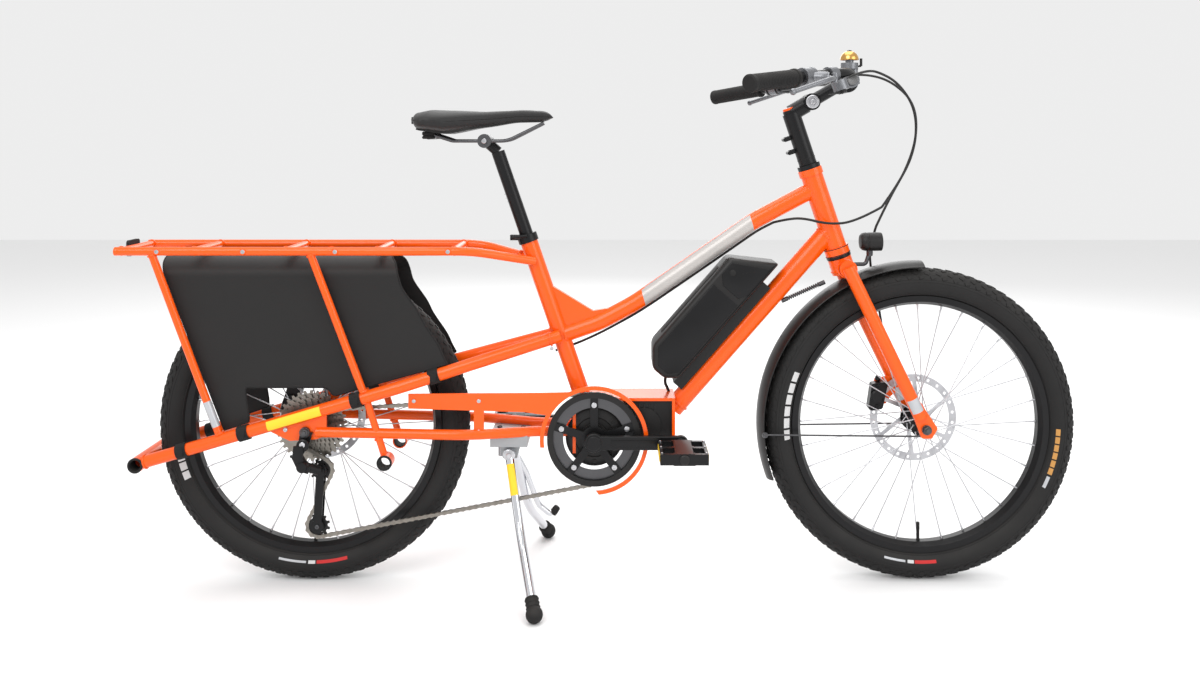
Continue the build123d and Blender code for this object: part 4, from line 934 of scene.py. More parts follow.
def chain_line():
    """The chain's closed path as evenly spaced points, one for each pin."""
    wheels = [(crank_axis, pitch_radius(44), 1), (rear_axle, pitch_radius(17), 1),
              (guide_centre, pitch_radius(11), -1), (tension_centre, pitch_radius(11), 1)]
    runs = [belt(here, wheels[(index + 1) % 4]) for index, here in enumerate(wheels)]
    points = []
    for index, (centre, radius, turn) in enumerate(wheels):
        arrive, leave = runs[index - 1][1], runs[index][0]
        first = math.atan2(arrive.z - centre.z, arrive.x - centre.x)
        last = math.atan2(leave.z - centre.z, leave.x - centre.x)
        swing = ((last - first) * turn) % TURN
        for step in range(61):
            angle = first + turn * swing * step / 60
            points.append(Vector((centre.x + radius * math.cos(angle), CHAIN_Y,
                                  centre.z + radius * math.sin(angle))))
    points.append(points[0].copy())
    lengths = [0.0]
    for before, after in zip(points, points[1:]):
        lengths.append(lengths[-1] + (after - before).length)
    count = 2 * round(lengths[-1] / bpy.context.scene.bicycle_sizes.chain_pitch / 2)
    pins, segment = [], 0
    for pin in range(count):
        target = lengths[-1] * pin / count
        while lengths[segment + 1] < target:
            segment += 1
        share = (target - lengths[segment]) / max(lengths[segment + 1] - lengths[segment], 1e-9)
        pins.append(points[segment].lerp(points[segment + 1], share))
    return pins


PLATE_RADIUS = 0.0041
PLATE_WAIST = 0.0028
PLATE_THICKNESS = 0.0009
OUTER_PLATE = 0.0030
INNER_PLATE = 0.0019
ROLLER_RADIUS = 0.0037
PIN_RADIUS = 0.0018


def chain_link(length, wide):
    """A pair of waisted side plates with a roller at one end, along +X from its pin."""
    outline = []
    for step in range(7):
        angle = math.radians(60 + 240 * step / 6)
        outline.append((PLATE_RADIUS * math.cos(angle), PLATE_RADIUS * math.sin(angle)))
    outline.append((length / 2, -PLATE_WAIST))
    for step in range(7):
        angle = math.radians(-120 + 240 * step / 6)
        outline.append((length + PLATE_RADIUS * math.cos(angle), PLATE_RADIUS * math.sin(angle)))
    outline.append((length / 2, PLATE_WAIST))
    edge = OUTER_PLATE if wide else INNER_PLATE
    parts = [slab(outline, edge - PLATE_THICKNESS, edge), slab(outline, -edge, PLATE_THICKNESS - edge)]
    if wide:
        for start in (0, length):
            parts.append(turned([(PIN_RADIUS, -0.0035), (PIN_RADIUS, 0.0035)], (start, 0, 0), ACROSS,
                                8))
    else:
        parts.append(turned([(ROLLER_RADIUS, -0.0012), (ROLLER_RADIUS, 0.0012)], (0, 0, 0), ACROSS, 10))
        parts.append(turned([(ROLLER_RADIUS, -0.0012), (ROLLER_RADIUS, 0.0012)], (length, 0, 0), ACROSS,
                            10))
    return joined(parts)


class BICYCLE_OT_drive(bpy.types.Operator):
    """Chain links, toothed sprockets, pulleys, crank bolts and pedal grips"""

    bl_idname = "bicycle.drive"
    bl_label = "Drive"

    def execute(self, context):
        pins = chain_line()
        length = (pins[1] - pins[0]).length
        links = [chain_link(length, False), chain_link(length, True)]
        copies = []
        for number, pin in enumerate(pins):
            step = pins[(number + 1) % len(pins)] - pin
            turn = Matrix.Rotation(-math.atan2(step.z, step.x), 4, "Y")
            copies.append(copied(links[number % 2], Matrix.Translation(pin) @ turn))
        for link in links:
            bpy.data.objects.remove(link)
        chain = placed(joined(copies), "chain_links", None, "chain", 35, ("chain",))
        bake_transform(chain)
        self.sprockets()
        self.pulleys()
        self.cranks()
        self.pedals()
        return {"FINISHED"}

    def sprockets(self):
        parts = []
        for number, (teeth, y) in enumerate(COGS):
            pitch = pitch_radius(teeth)
            cog = toothed(rear_axle, y - 0.0009, y + 0.0009, pitch - 0.0036, pitch + 0.0022, teeth)
            if number < 3:
                bored(cog, rear_axle + Vector((pitch - 0.0135, y, 0)), ACROSS, 0.0042, 0.004, 10,
                      rear_axle, 16)
            parts.append(cog)
        parts.append(turned([(0.017, -0.0600), (0.0185, -0.0590), (0.0185, -0.0278), (0.017, -0.0272)],
                            Vector((rear_axle.x, 0, rear_axle.z)), ACROSS, 48))
        # The sprockets take the chain steel, whose brown tint is a painted reflection of the orange frame.
        placed(joined(parts), "sprocket_stack", "cassette", "chain", 30, ("cassette",))
        ring = toothed(crank_axis, CHAIN_Y - 0.0014, CHAIN_Y + 0.0014, pitch_radius(44) - 0.0036,
                       pitch_radius(44) + 0.0022, 44)
        bored(ring, crank_axis + Vector((0, CHAIN_Y, 0)), ACROSS, 0.0616, 0.006, 1, None, 64)
        placed(ring, "chainring_teeth", "crank", "dark steel", 30)
        guard = turned([(0.0924, -0.0568), (0.0932, -0.0562), (0.0932, -0.0538), (0.0924, -0.0532)],
                       Vector((crank_axis.x, 0, crank_axis.z)), ACROSS, 96)
        bored(guard, crank_axis + Vector((0, -0.055, 0)), ACROSS, 0.0815, 0.01, 1, None, 96)
        placed(guard, "chainring_guard", "crank", "plastic", 30)
        bolts = []
        for arm in range(5):
            angle = math.radians(72 * arm + 18)
            out = Vector((math.cos(angle), 0, math.sin(angle)))
            bolts.append(bolt_head(crank_axis + out * 0.068 + Vector((0, -0.0565, 0)), -ACROSS, 0.0052,
                                   0.0022))
        placed(joined(bolts), "chainring_bolts", "crank", "steel")

    def pulleys(self):
        for name, centre in (("guide_pulley", guide_centre), ("tension_pulley", tension_centre)):
            wheel = toothed(centre, CHAIN_Y - 0.001, CHAIN_Y + 0.001, 0.0185, 0.0235, 11)
            bored(wheel, Vector((centre.x + 0.0125, CHAIN_Y, centre.z)), ACROSS, 0.0021, 0.004, 6,
                  centre, 10)
            hub = turned([(0.0075, -0.0526), (0.009, -0.0520), (0.009, -0.0460), (0.0075, -0.0454)],
                         Vector((centre.x, 0, centre.z)), ACROSS, 28)
            placed(joined([wheel, hub]), f"{name}_wheel", name, "plastic", 30, (name,))
            bolt = bolt_head(Vector((centre.x, -0.0580, centre.z)), -ACROSS, 0.0042, 0.0022)
            placed(bolt, f"{name}_bolt", "cage", "dark steel")
        body = Vector((-0.581, -0.0795, 0.300))
        cap = turned([(0.0115, 0), (0.0122, 0.001), (0.0122, 0.004), (0.0100, 0.0055),
                      (0.0055, 0.0060)],
                     mm(-581, -87.5, 292), -ACROSS, 36)
        knuckle = turned([(0.0105, -0.003), (0.0112, 0), (0.0112, 0.012), (0.0098, 0.0145),
                          (0.005, 0.0155)],
                         mm(-581, -84, 251), -ACROSS, 36)
        barrel = turned([(0.0032, 0), (0.0042, 0.001), (0.0042, 0.010), (0.0030, 0.0115),
                         (0.0027, 0.018)],
                        mm(-592, -80, 262), (-0.6, 0.1, 0.2), 20)
        skirt = slab([(-0.5975, 0.293), (-0.6005, 0.268), (-0.5890, 0.244), (-0.5690, 0.238),
                      (-0.5650, 0.250),
                      (-0.5800, 0.262), (-0.5780, 0.292)], -0.0965, -0.0935, 0.001)
        placed(joined([cap, knuckle, barrel, skirt]), "derailleur_links", "frame",
               "alloy", 30)
        bolt = bolt_head(body + Vector((0, -0.013, -0.006)), -ACROSS, 0.0055, 0.003)
        placed(bolt, "derailleur_bolt", "frame", "steel")

    def cranks(self):
        parts = []
        for side in (-1, 1):
            centre = crank_axis + Vector((0, side * 0.084, 0))
            parts.append(turned([(0.0135, -0.001), (0.0142, 0), (0.0142, 0.0016), (0.0128, 0.0028),
                                 (0.006, 0.0030)],
                                centre, ACROSS * side, 40))
            arm = Vector((-side * 0.170, 0, 0))
            parts.append(turned([(0.0100, -0.001), (0.0104, 0), (0.0104, 0.0010), (0.0090, 0.0020)],
                                centre + arm, ACROSS * side, 32))
            low, high = sorted((side * 0.0842, side * 0.0851))
            ends = sorted((crank_axis.x + arm.x * 0.2, crank_axis.x + arm.x * 0.84))
            parts.append(block((ends[0], low, crank_axis.z - 0.0065),
                               (ends[1], high, crank_axis.z + 0.0065), 0.0004))
        placed(joined(parts), "crank_caps", "crank", "alloy", 30)
        covers = []
        for side in (-1, 1):
            profile = [(0.0560, 0.0340), (0.0575, 0.0362), (0.0550, 0.0378), (0.0400, 0.0388),
                       (0.0380, 0.0376),
                       (0.0270, 0.0376), (0.0255, 0.0400), (0.0180, 0.0405)]
            covers.append(turned(profile, Vector((crank_axis.x, 0, crank_axis.z)), ACROSS * side, 72))
            for step in range(7):
                angle = math.radians(40 + 46 * step)
                spot = Vector((crank_axis.x + 0.0475 * math.cos(angle), side * 0.0382,
                               crank_axis.z + 0.0475 * math.sin(angle)))
                covers.append(bolt_head(spot, ACROSS * side, 0.0034, 0.0020))
            for rib in range(6):
                x = 0.052 + 0.0105 * rib
                low, high = sorted((side * 0.0335, side * 0.0362))
                covers.append(block((x, low, 0.300), (x + 0.0032, high, 0.360), 0.0008))
        placed(joined(covers), "motor_covers", "frame", "plastic", 30)

    def pedals(self):
        for side, name in ((-1, "pedal_right"), (1, "pedal_left")):
            centre = pivot(name + "_spin")
            studs, plates = [], []
            for front in (-1, 1):
                for row in (0.104, 0.140, 0.180):
                    spot = centre + Vector((front * 0.0415, 0, 0))
                    spot.y = side * row
                    for up in (-1, 1):
                        studs.append(turned([(0.0021, 0), (0.0021, 0.0018), (0.0014, 0.0024)],
                                            spot + UP * up * 0.0098, UP * up, 10))
                ends = sorted((side * 0.108, side * 0.176))
                faces = sorted((centre.x + front * 0.0449, centre.x + front * 0.0464))
                plates.append(block((faces[0], ends[0], centre.z - 0.007),
                                    (faces[1], ends[1], centre.z + 0.007),
                                    0.0006))
            placed(joined(studs), f"{name}_studs", name, "steel")
            placed(joined(plates), f"{name}_reflectors", name, "label")
            cap = turned([(0.0085, 0), (0.0092, 0.001), (0.0092, 0.003), (0.0075, 0.0042)],
                         Vector((centre.x, side * 0.1875, centre.z)), ACROSS * side, 28)
            sleeve = turned([(0.0072, 0), (0.0090, 0.002), (0.0090, 0.009), (0.0072, 0.010)],
                            Vector((centre.x, side * 0.0862, centre.z)), ACROSS * side, 28)
            placed(joined([cap, sleeve]), f"{name}_bearing_caps", name, "plastic")


# ---------------------------------------------------------------- frame details

STAY_SLOPE = (493 - 252) / (-83 + 908)


def stay_height(x):
    """The height of the upper stays' axis at x, in millimetres."""
    return 252 + (x + 908) * STAY_SLOPE


class BICYCLE_OT_welds(bpy.types.Operator):
    """Weld beads where tubes meet, and bolts along the rack"""

    bl_idname = "bicycle.welds"
    bl_label = "Welds and rack bolts"

    def execute(self, context):
        bead = context.scene.bicycle_sizes.weld_bead
        joints = [
            ((446, 0, 795), (128, 0, 68), 17), ((452, 0, 692), (319, 0, 363), 20),
            ((-74, 0, 491), (78, 0, 27), 17), ((155, 0, 354), (319, 0, 363), 20),
        ]
        for side in (-1, 1):
            y = 75 * side
            rear_foot, front_foot = stay_height(-745), stay_height(-463)
            joints += [
                ((-880, y, 660), (138, 0, -368), 7.5), ((-748, y, rear_foot + 12), (138, 0, -368), 7.5),
                ((-569, y, 660), (109, 0, -286), 7.5), ((-466, y, front_foot + 12), (109, 0, -286),
                                                        7.5),
                ((-893, y, stay_height(-893)), (825, 0, 241), 12.5),
                ((-104, 28 * side, 487), (317, -51 * side, 93), 12.5),
                ((-168, 27 * side, 650), (118, -55 * side, -26), 8.5),
                ((-58, 29 * side, 303), (1, 0, 0), 10),
                ((-437, 71 * side, 300), (40, 0, -127), 7),
            ]
            joints += [((x, 67.5 * side, 668), (0, 1, 0), 7.5) for x in (-944, -800, -620, -440, -290)]
        parts = [hoop(mm(*place), direction, (radius + 0.3) * millimetre, bead, 24, 6)
                 for place, direction, radius in joints]
        placed(joined(parts), "weld_beads", "frame", "paint", 60)
        crown = [hoop(mm(488, side * 38, 629), ACROSS, 0.0172, bead, 24, 6) for side in (-1, 1)]
        crown.append(hoop(mm(489, 0, 624), (-0.316, 0, 0.949), 0.0238, bead, 32, 6))
        placed(joined(crown), "fork_weld_beads", "fork", "paint", 60)
        bolts = []
        for side in (-1, 1):
            for x in (-868, -700, -520, -300):
                bolts.append(bolt_head(mm(x, side * 83.2, 668), ACROSS * side, 0.0042, 0.0026))
            bolts.append(bolt_head(mm(-100, side * 36, 470), ACROSS * side, 0.0038, 0.0024))
            bolts.append(bolt_head(mm(-620, side * 72.2, 318), ACROSS * side, 0.0042, 0.0026))
        bolts += [bolt_head(mm(x, -63.6, z), -ACROSS, 0.0038, 0.0022) for x,
                  z in ((-370, 372), (-242, 372), (-242, 312))]
        placed(joined(bolts), "rack_bolts", "frame", "steel")
        eyelets = []
        for x in (-868, -700, -520, -300):
            for side in (-1, 1):
                eyelets.append(turned([(0.0062, -0.0012), (0.0066, 0), (0.0060, 0.0010)],
                                      mm(x, side * 83, 668), ACROSS * side, 24))
        placed(joined(eyelets), "rack_eyelets", "frame", "paint")
        return {"FINISHED"}


class BICYCLE_OT_markings(bpy.types.Operator):
    """Blank bands and labels on the tubes"""

    bl_idname = "bicycle.markings"
    bl_label = "Bands and labels"

    def execute(self, context):
        low, high = mm(84, 0, 566.8), mm(303, 0, 718.5)
        sides = []
        for turn in (0, 180):
            sides.append(wrap(low, high, 0.01735, turn - 62, turn + 62, 0.012 if turn else -0.012, 40,
                              16))
        placed(joined(sides), "top_tube_bands", "frame", "decal")
        edges = []
        for turn in (0, 180):
            for place in (-66, 66):
                start = between(low, high, 0.05)
                edges.append(wrap(start, high, 0.01745, turn + place - 3, turn + place + 3, 0, 30, 2))
        placed(joined(edges), "top_tube_pinstripes", "frame", "reflector")
        bands = []
        for side in (-1, 1):
            y = side * 75
            bands.append(wrap(mm(-773, y, 374), mm(-754.5, y, 325), 0.00775, 0, 359.9, 0, 6, 40))
        placed(joined(bands), "strut_reflective_bands", "frame", "reflector")
        top, foot = mm(487, 0, 634), mm(631, 0, 336)
        rings = []
        for side in (-1, 1):
            shift = ACROSS * side * 0.054
            rings.append(wrap(between(top, foot, 0.87) + shift, between(top, foot, 0.955) + shift,
                              0.01335, -58, 58,
                              0, 8, 14))
        placed(joined(rings), "fork_reflective_bands", "fork", "reflector")
        stay = wrap(mm(-652, -75, stay_height(-652)), mm(-548, -75, stay_height(-548)), 0.01285, -48,
                    40, 0, 30, 12)
        placed(stay, "stay_label", "frame", "label")
        knee, hip = mm(-157, -86, 112), mm(-185, -33, 258)
        leg = wrap(between(hip, knee, 0.12), between(hip, knee, 0.5), 0.0094, -52, 52, 0, 12, 8)
        placed(leg, "stand_label", "stand", "label")
        return {"FINISHED"}


# ---------------------------------------------------------------- battery


def over_tube(distance, height):
    """A point above the down tube's axis, measured up the tube and square to it, in metres."""
    start, end = mm(144, 0, 342), mm(463, 0, 705)
    along = (end - start).normalized()
    across = Vector((-along.z, 0, along.x))
    return start + along * distance * millimetre + across * height * millimetre


def tube_outline(points):
    """Points over the down tube as an (x, z) outline."""
    return [(point.x, point.z) for point in (over_tube(*pair) for pair in points)]


class BICYCLE_OT_battery(bpy.types.Operator):
    """The battery's case with its side panels, lock, handle and charge port"""

    bl_idname = "bicycle.battery"
    bl_label = "Battery"

    def execute(self, context):
        low, high, start, end = 38, 121, 38, 363
        outline = tube_outline([(start + 20, low), (end, low), (end - 58, high), (start + 34, high),
                                (start, high - 30), (start, low + 22)])
        case = slab(outline, -0.043, 0.043)
        bevelled(case, 0.009, 4, 20)
        placed(case, "battery_shell", "frame", "plastic", 40, ("battery_case",))
        panels = []
        for side in (-1, 1):
            edges = sorted((side * 0.0422, side * 0.0442))
            panels.append(slab(tube_outline([(start + 28, low + 9), (end - 118, low + 9),
                                             (end - 118, high - 10),
                                             (start + 40, high - 10), (start + 12, high - 34),
                                             (start + 12, low + 24)]),
                               *edges, 0.0009, 3))
            panels.append(slab(tube_outline([(end - 108, low + 16), (end - 90, low + 7),
                                             (end - 22, low + 7),
                                             (end - 62, high - 9), (end - 92, high - 9),
                                             (end - 108, high - 26)]),
                               *edges, 0.0009, 3))
        placed(joined(panels), "battery_side_panels", "frame", "alloy", 40)
        seam = []
        for side in (-1, 1):
            edges = sorted((side * 0.0424, side * 0.0437))
            seam.append(slab(tube_outline([(start + 22, low + 4.2), (end - 8, low + 4.2),
                                           (end - 8, low + 5.6),
                                           (start + 22, low + 5.6)]), *edges))
        top = slab(tube_outline([(start + 60, high - 1), (end - 84, high - 1), (end - 90, high + 1.2),
                                 (start + 66, high + 1.2)]), -0.016, 0.016, 0.0008)
        placed(joined([*seam, top]), "battery_ribs", "frame", "rubber")
        lock_at = over_tube(end - 70, low + 12) + ACROSS * 0.0432
        lock = turned([(0.0085, 0), (0.0088, 0.001), (0.0088, 0.0022), (0.0070, 0.0028),
                       (0.0066, 0.0022),
                       (0.002, 0.0022)], lock_at, ACROSS, 36)
        port = turned([(0.0095, 0), (0.0100, 0.001), (0.0100, 0.0024), (0.0086, 0.0032)],
                      over_tube(start + 46, low + 26) + ACROSS * 0.0432, ACROSS, 36)
        placed(joined([lock, port]), "battery_lock_and_port", "frame", "dark steel")
        button = turned([(0.0060, 0), (0.0063, 0.0008), (0.0063, 0.0018), (0.0050, 0.0024)],
                        over_tube(end - 76, high - 24) - ACROSS * 0.0438, -ACROSS, 28)
        lights = []
        for step in range(4):
            spot = over_tube(end - 64 + 6 * step, high - 40 - 5 * step) - ACROSS * 0.0438
            lights.append(turned([(0.0013, 0), (0.0013, 0.0009)], spot, -ACROSS, 12))
        placed(joined([button, *lights]), "battery_button", "frame", "rubber")
        lead = tube([over_tube(start + 2, low + 14) + ACROSS * 0.018,
                     over_tube(start - 12, low + 8) + ACROSS * 0.018,
                     over_tube(start - 18, low - 8) + ACROSS * 0.018, mm(138, 18, 366)], 0.003)
        placed(lead, "battery_lead", "frame", "cable", 60)
        return {"FINISHED"}


# ---------------------------------------------------------------- front end


class BICYCLE_OT_front(bpy.types.Operator):
    """Head light, fender edges, stem fittings, grips, levers, display and caliper bolts"""

    bl_idname = "bicycle.front"
    bl_label = "Front end"

    def execute(self, context):
        self.light()
        self.fender()
        self.stem()
        self.controls()
        self.calipers()
        return {"FINISHED"}

    def light(self):
        base = mm(523, 0, 679.6)
        ahead = Vector((1, 0, 0.002))
        shell = turned([(0.008, 0), (0.0135, 0.0008), (0.0172, 0.0045), (0.0188, 0.0105),
                        (0.0188, 0.0135),
                        (0.0180, 0.0142), (0.0180, 0.0162), (0.0188, 0.0170), (0.0190, 0.0300),
                        (0.0186, 0.0428),
                        (0.0180, 0.0436), (0.0168, 0.0436), (0.0166, 0.0400), (0.0164, 0.0330),
                        (0.0060, 0.0240)],
                       base, ahead, 56)
        placed(shell, "head_light_shell", "fork", "plastic", 35, ("head_light",))
        bowl = turned([(0.0050, 0.0250), (0.0110, 0.0285), (0.0150, 0.0335), (0.0162, 0.0372),
                       (0.0158, 0.0374),
                       (0.0140, 0.0345), (0.0040, 0.0262)], base, ahead, 48)
        placed(bowl, "head_light_reflector", "fork", "chrome")
        lens = turned([(0.0163, 0.0385), (0.0165, 0.0400), (0.0120, 0.0416), (0.0060, 0.0424),
                       (0.0015, 0.0426)],
                      base, ahead, 48)
        placed(lens, "head_light_lens", "fork", "lens")
        hood = turned([(0.0060, -0.004), (0.0066, 0), (0.0066, 0.012), (0.0050, 0.014)],
                      mm(543, 0, 655), UP, 28)
        bolt = bolt_head(mm(543, -6.2, 658), -ACROSS, 0.0034, 0.0024)
        placed(joined([hood, bolt]), "head_light_mount", "fork", "dark steel")

    def fender(self):
        edges = []
        for side in (-1, 1):
            points = []
            for step in range(25):
                angle = math.radians(89.5 + 110 * step / 24)
                points.append((front_axle.x + 0.3175 * math.cos(angle), side * 0.0325,
                               front_axle.z + 0.3175 * math.sin(angle)))
            edges.append(tube(points, 0.0013, 2, steps=5))
        placed(joined(edges), "fender_rolled_edges", "fork", "fender", 60)
        angle = math.radians(183)
        clips = []
        for side in (-1, 1):
            spot = front_axle + Vector((0.316 * math.cos(angle), side * 0.0374,
                                        0.316 * math.sin(angle)))
            clips.append(turned([(0.0058, -0.002), (0.0062, 0), (0.0055, 0.0020)], spot, ACROSS * side,
                                24))
            clips.append(bolt_head(spot + ACROSS * side * 0.0018, ACROSS * side, 0.0032, 0.0022))
        placed(joined(clips), "fender_clips", "fork", "dark steel")
        for step, place in enumerate((118, 148)):
            angle = math.radians(place)
            out = Vector((math.cos(angle), 0, math.sin(angle)))
            rivet = turned([(0.0045, -0.001), (0.0045, 0.0002), (0.0030, 0.0011)],
                           front_axle + out * 0.3276, out, 20)
            placed(rivet, f"fender_rivet_{step}", "fork", "dark steel")

    def stem(self):
        hub, clamp = mm(423, 0, 963), mm(493, 0, 1004)
        discs = []
        for side in (-1, 1):
            spot = hub + ACROSS * side * 0.0250
            discs.append(turned([(0.0128, -0.0046), (0.0134, -0.0040), (0.0134, 0.0004),
                                 (0.0118, 0.0016),
                                 (0.0072, 0.0016), (0.0064, 0.0006)], spot, ACROSS * side, 44))
            discs.append(bolt_head(spot, ACROSS * side, 0.0050, 0.0030))
        placed(joined(discs), "stem_pivot_discs", "bars", "steel", 30)
        plate = turned([(0.0221, -0.0226), (0.0228, -0.0220), (0.0228, -0.0150), (0.0222, -0.0144)],
                       clamp, ACROSS, 56)
        other = turned([(0.0221, 0.0144), (0.0228, 0.0150), (0.0228, 0.0220), (0.0221, 0.0226)], clamp,
                       ACROSS, 56)
        placed(joined([plate, other]), "stem_clamp_bands", "bars", "alloy", 30)
        ahead = (clamp - hub).normalized()
        lift = ahead.cross(ACROSS).normalized()
        bolts = []
        for y in (-0.0155, 0.0155):
            for up in (-0.0135, 0.0135):
                bolts.append(bolt_head(clamp + lift * up + ACROSS * y + ahead * 0.0178, ahead, 0.0036,
                                       0.0034))
        placed(joined(bolts), "stem_face_bolts", "bars", "dark steel")
        steer = Vector((-0.316, 0, 0.949)).normalized()
        spacers = [hoop(mm(421, 0, 828) + steer * reach, steer, 0.0180, 0.0007, 40,
                        6) for reach in (0.0105, 0.0215)]
        spacers += [hoop(mm(479, 0, 654) + steer * reach, steer, 0.0250, 0.0008, 40,
                         6) for reach in (0.001, 0.015)]
        top = mm(479, 0, 654) + steer * 0.298
        cap = turned([(0.0146, 0), (0.0156, 0.001), (0.0156, 0.0095), (0.0140, 0.0115),
                      (0.0045, 0.0120)], top, steer, 44)
        placed(joined([cap, bolt_head(top + steer * 0.0118, steer, 0.0042, 0.0028)]), "stem_top_cap",
               "fork",
               "alloy", 30)
        placed(joined(spacers), "headset_seals", "fork", "rubber", 60)

    def controls(self):
        for side, name in ((-1, "right"), (1, "left")):
            inner, outer = mm(358, side * 215, 1000), mm(262, side * 312, 985)
            reach = outer - inner
            length = reach.length
            profile = [(0.0120, 0.04 * length), (0.0172, 0.045 * length), (0.0175, 0.06 * length),
                       (0.0172, 0.085 * length), (0.0150, 0.095 * length)]
            ribs = 26
            for rib in range(ribs):
                spot = (0.11 + 0.86 * rib / ribs) * length
                step = 0.86 * length / ribs
                profile += [(0.0151, spot), (0.0159, spot + 0.25 * step), (0.0159, spot + 0.65 * step),
                            (0.0151, spot + 0.9 * step)]
            profile += [(0.0160, 0.985 * length), (0.0164, 1.0 * length), (0.0162, 1.035 * length),
                        (0.0130, 1.048 * length), (0.0060, 1.05 * length)]
            placed(turned(profile, inner, reach, 40), f"{name}_grip", "bars", "rubber",
                   25,
                   ("grips",) if side < 0 else ())
            root = pivot(f"brake_{name}_pull")
            middle = root + mm(-16, side * 40, -4)
            tip = Vector((outer.x + 0.076, side * (312 - 20) * millimetre, outer.z - 0.014))
            blade = tube([root, between(root, middle, 0.5), middle, between(middle, tip, 0.45), tip],
                         0.0046, 5,
                         steps=12)
            hub = turned([(0.0052, -0.0092), (0.0060, -0.0084), (0.0060, 0.0084), (0.0052, 0.0092)],
                         root, UP, 28)
            ball = turned([(0.0046, 0), (0.0058, 0.0018), (0.0062, 0.0045), (0.0050, 0.0080),
                           (0.0020, 0.0095)],
                          tip - (tip - middle).normalized() * 0.004, tip - middle, 24)
            placed(joined([blade, hub, ball]), f"{name}_brake_blade", f"brake_{name}",
                   "grey", 40,
                   (f"brake_lever_{name}",))
            near = between(mm(475, side * 125, 1014), mm(358, side * 215, 1000), 0.72)
            far = between(mm(475, side * 125, 1014), mm(358, side * 215, 1000), 0.92)
            along = (far - near).normalized()
            rings = [turned([(0.0172, 0), (0.0178, 0.0008), (0.0178, 0.0042), (0.0172, 0.005)],
                            near + along * push,
                            along, 44) for push in (0.001, 0.0225)]
            forward = (root - between(near, far, 0.5)).normalized()
            tank = turned([(0.0085, 0), (0.0108, 0.001), (0.0112, 0.004), (0.0112, 0.018),
                           (0.0098, 0.0205)],
                          between(near, far, 0.5) + forward * 0.0185, forward, 36)
            bolt = bolt_head(between(near, far, 0.5) - forward * 0.0166, -forward, 0.0034, 0.0028)
            placed(joined([*rings, tank]), f"{name}_perch_bands", "bars",
                   "grey" if side < 0 else "alloy", 35)
            placed(bolt, f"{name}_perch_bolt", "bars", "dark steel")
        centre = mm(493, 49, 1031)
        bezel = block((centre.x - 0.0150, 0.0272, 1.0300), (centre.x + 0.0330, 0.0708, 1.0322), 0.0009,
                      3)
        placed(bezel, "display_bezel", "bars", "plastic")
        glass = block((centre.x - 0.0110, 0.0310, 1.0320), (centre.x + 0.0290, 0.0670, 1.0328), 0.0003)
        placed(glass, "display_glass", "bars", "screen")
        keys = [turned([(0.0030, 0), (0.0032, 0.0006), (0.0032, 0.0014), (0.0024, 0.0019)],
                       mm(486 + 8 * step, 24.2, 1025), -ACROSS, 20) for step in range(3)]
        placed(joined(keys), "display_keys", "bars", "rubber")
        bell = mm(489, -58, 1038)
        knob = turned([(0.0034, 0.0220), (0.0052, 0.0228), (0.0052, 0.0244), (0.0030, 0.0256)], bell,
                      UP, 28)
        placed(knob, "bell_knob", "bars", "dark steel")
        ring = hoop(bell + UP * 0.0066, UP, 0.0177, 0.0008, 48, 6)
        placed(ring, "bell_rim", "bars", "brass", 60)

    def calipers(self):
        centre = front_axle + Vector((-0.0797, 0, 0.046))
        front = []
        for up in (-0.020, 0.020):
            front.append(bolt_head(centre + Vector((0.004, 0.0218, up)), -ACROSS, 0.0040, 0.0032))
        front.append(turned([(0.0125, 0), (0.0132, 0.0012), (0.0132, 0.0042), (0.0105, 0.0058)],
                            centre + Vector((0.002, 0.0222, 0)), -ACROSS, 36))
        front.append(turned([(0.0050, 0), (0.0056, 0.001), (0.0056, 0.008), (0.0042, 0.0095)],
                            centre + Vector((0.006, 0.036, 0.030)), (0.3, 0, 0.95), 20))
        placed(joined(front), "front_caliper_fittings", "fork", "alloy", 30)
        rear = [bolt_head(mm(-645, 66, z), ACROSS, 0.0040, 0.0030) for z in (332, 364)]
        rear.append(turned([(0.0120, 0), (0.0128, 0.001), (0.0128, 0.0036), (0.0100, 0.0050)],
                           mm(-644, 66, 348),
                           ACROSS, 36))
        rear.append(turned([(0.0118, 0), (0.0126, 0.001), (0.0126, 0.0030), (0.0100, 0.0040)],
                           mm(-644, 40.2, 348),
                           -ACROSS, 36))
        placed(joined(rear), "rear_caliper_fittings", "frame", "alloy", 30)


# ---------------------------------------------------------------- cables

CASING_SPLIT = (560, -31, 752)
HOSE_SPLIT = (566, 38, 708)
CASING_ROUTE = [(459, -152, 1001), (478, -136, 1009), (509, -102, 1019), (540, -66, 1022),
                (584, -62, 1000), (622, -50, 948), (628, -34, 880), (604, -28, 812), CASING_SPLIT]
HOSE_ROUTE = [(430, 186, 1001), (462, 164, 1010), (510, 112, 1021), (548, 62, 1024), (600, 56, 1010),
              (646, 46, 966), (652, 40, 900), (630, 36, 830), (592, 37, 764),
              HOSE_SPLIT]
CASING_LOWER = [CASING_SPLIT, (505, -36, 722), (450, -37, 718), (402, -27, 730), (370, -16, 726),
                (348, 2, 718.5)]
HOSE_LOWER = [HOSE_SPLIT, (553, 44, 664), (560, 58, 612), (573, 66, 560), (584, 64, 504),
              (588, 58, 452)]


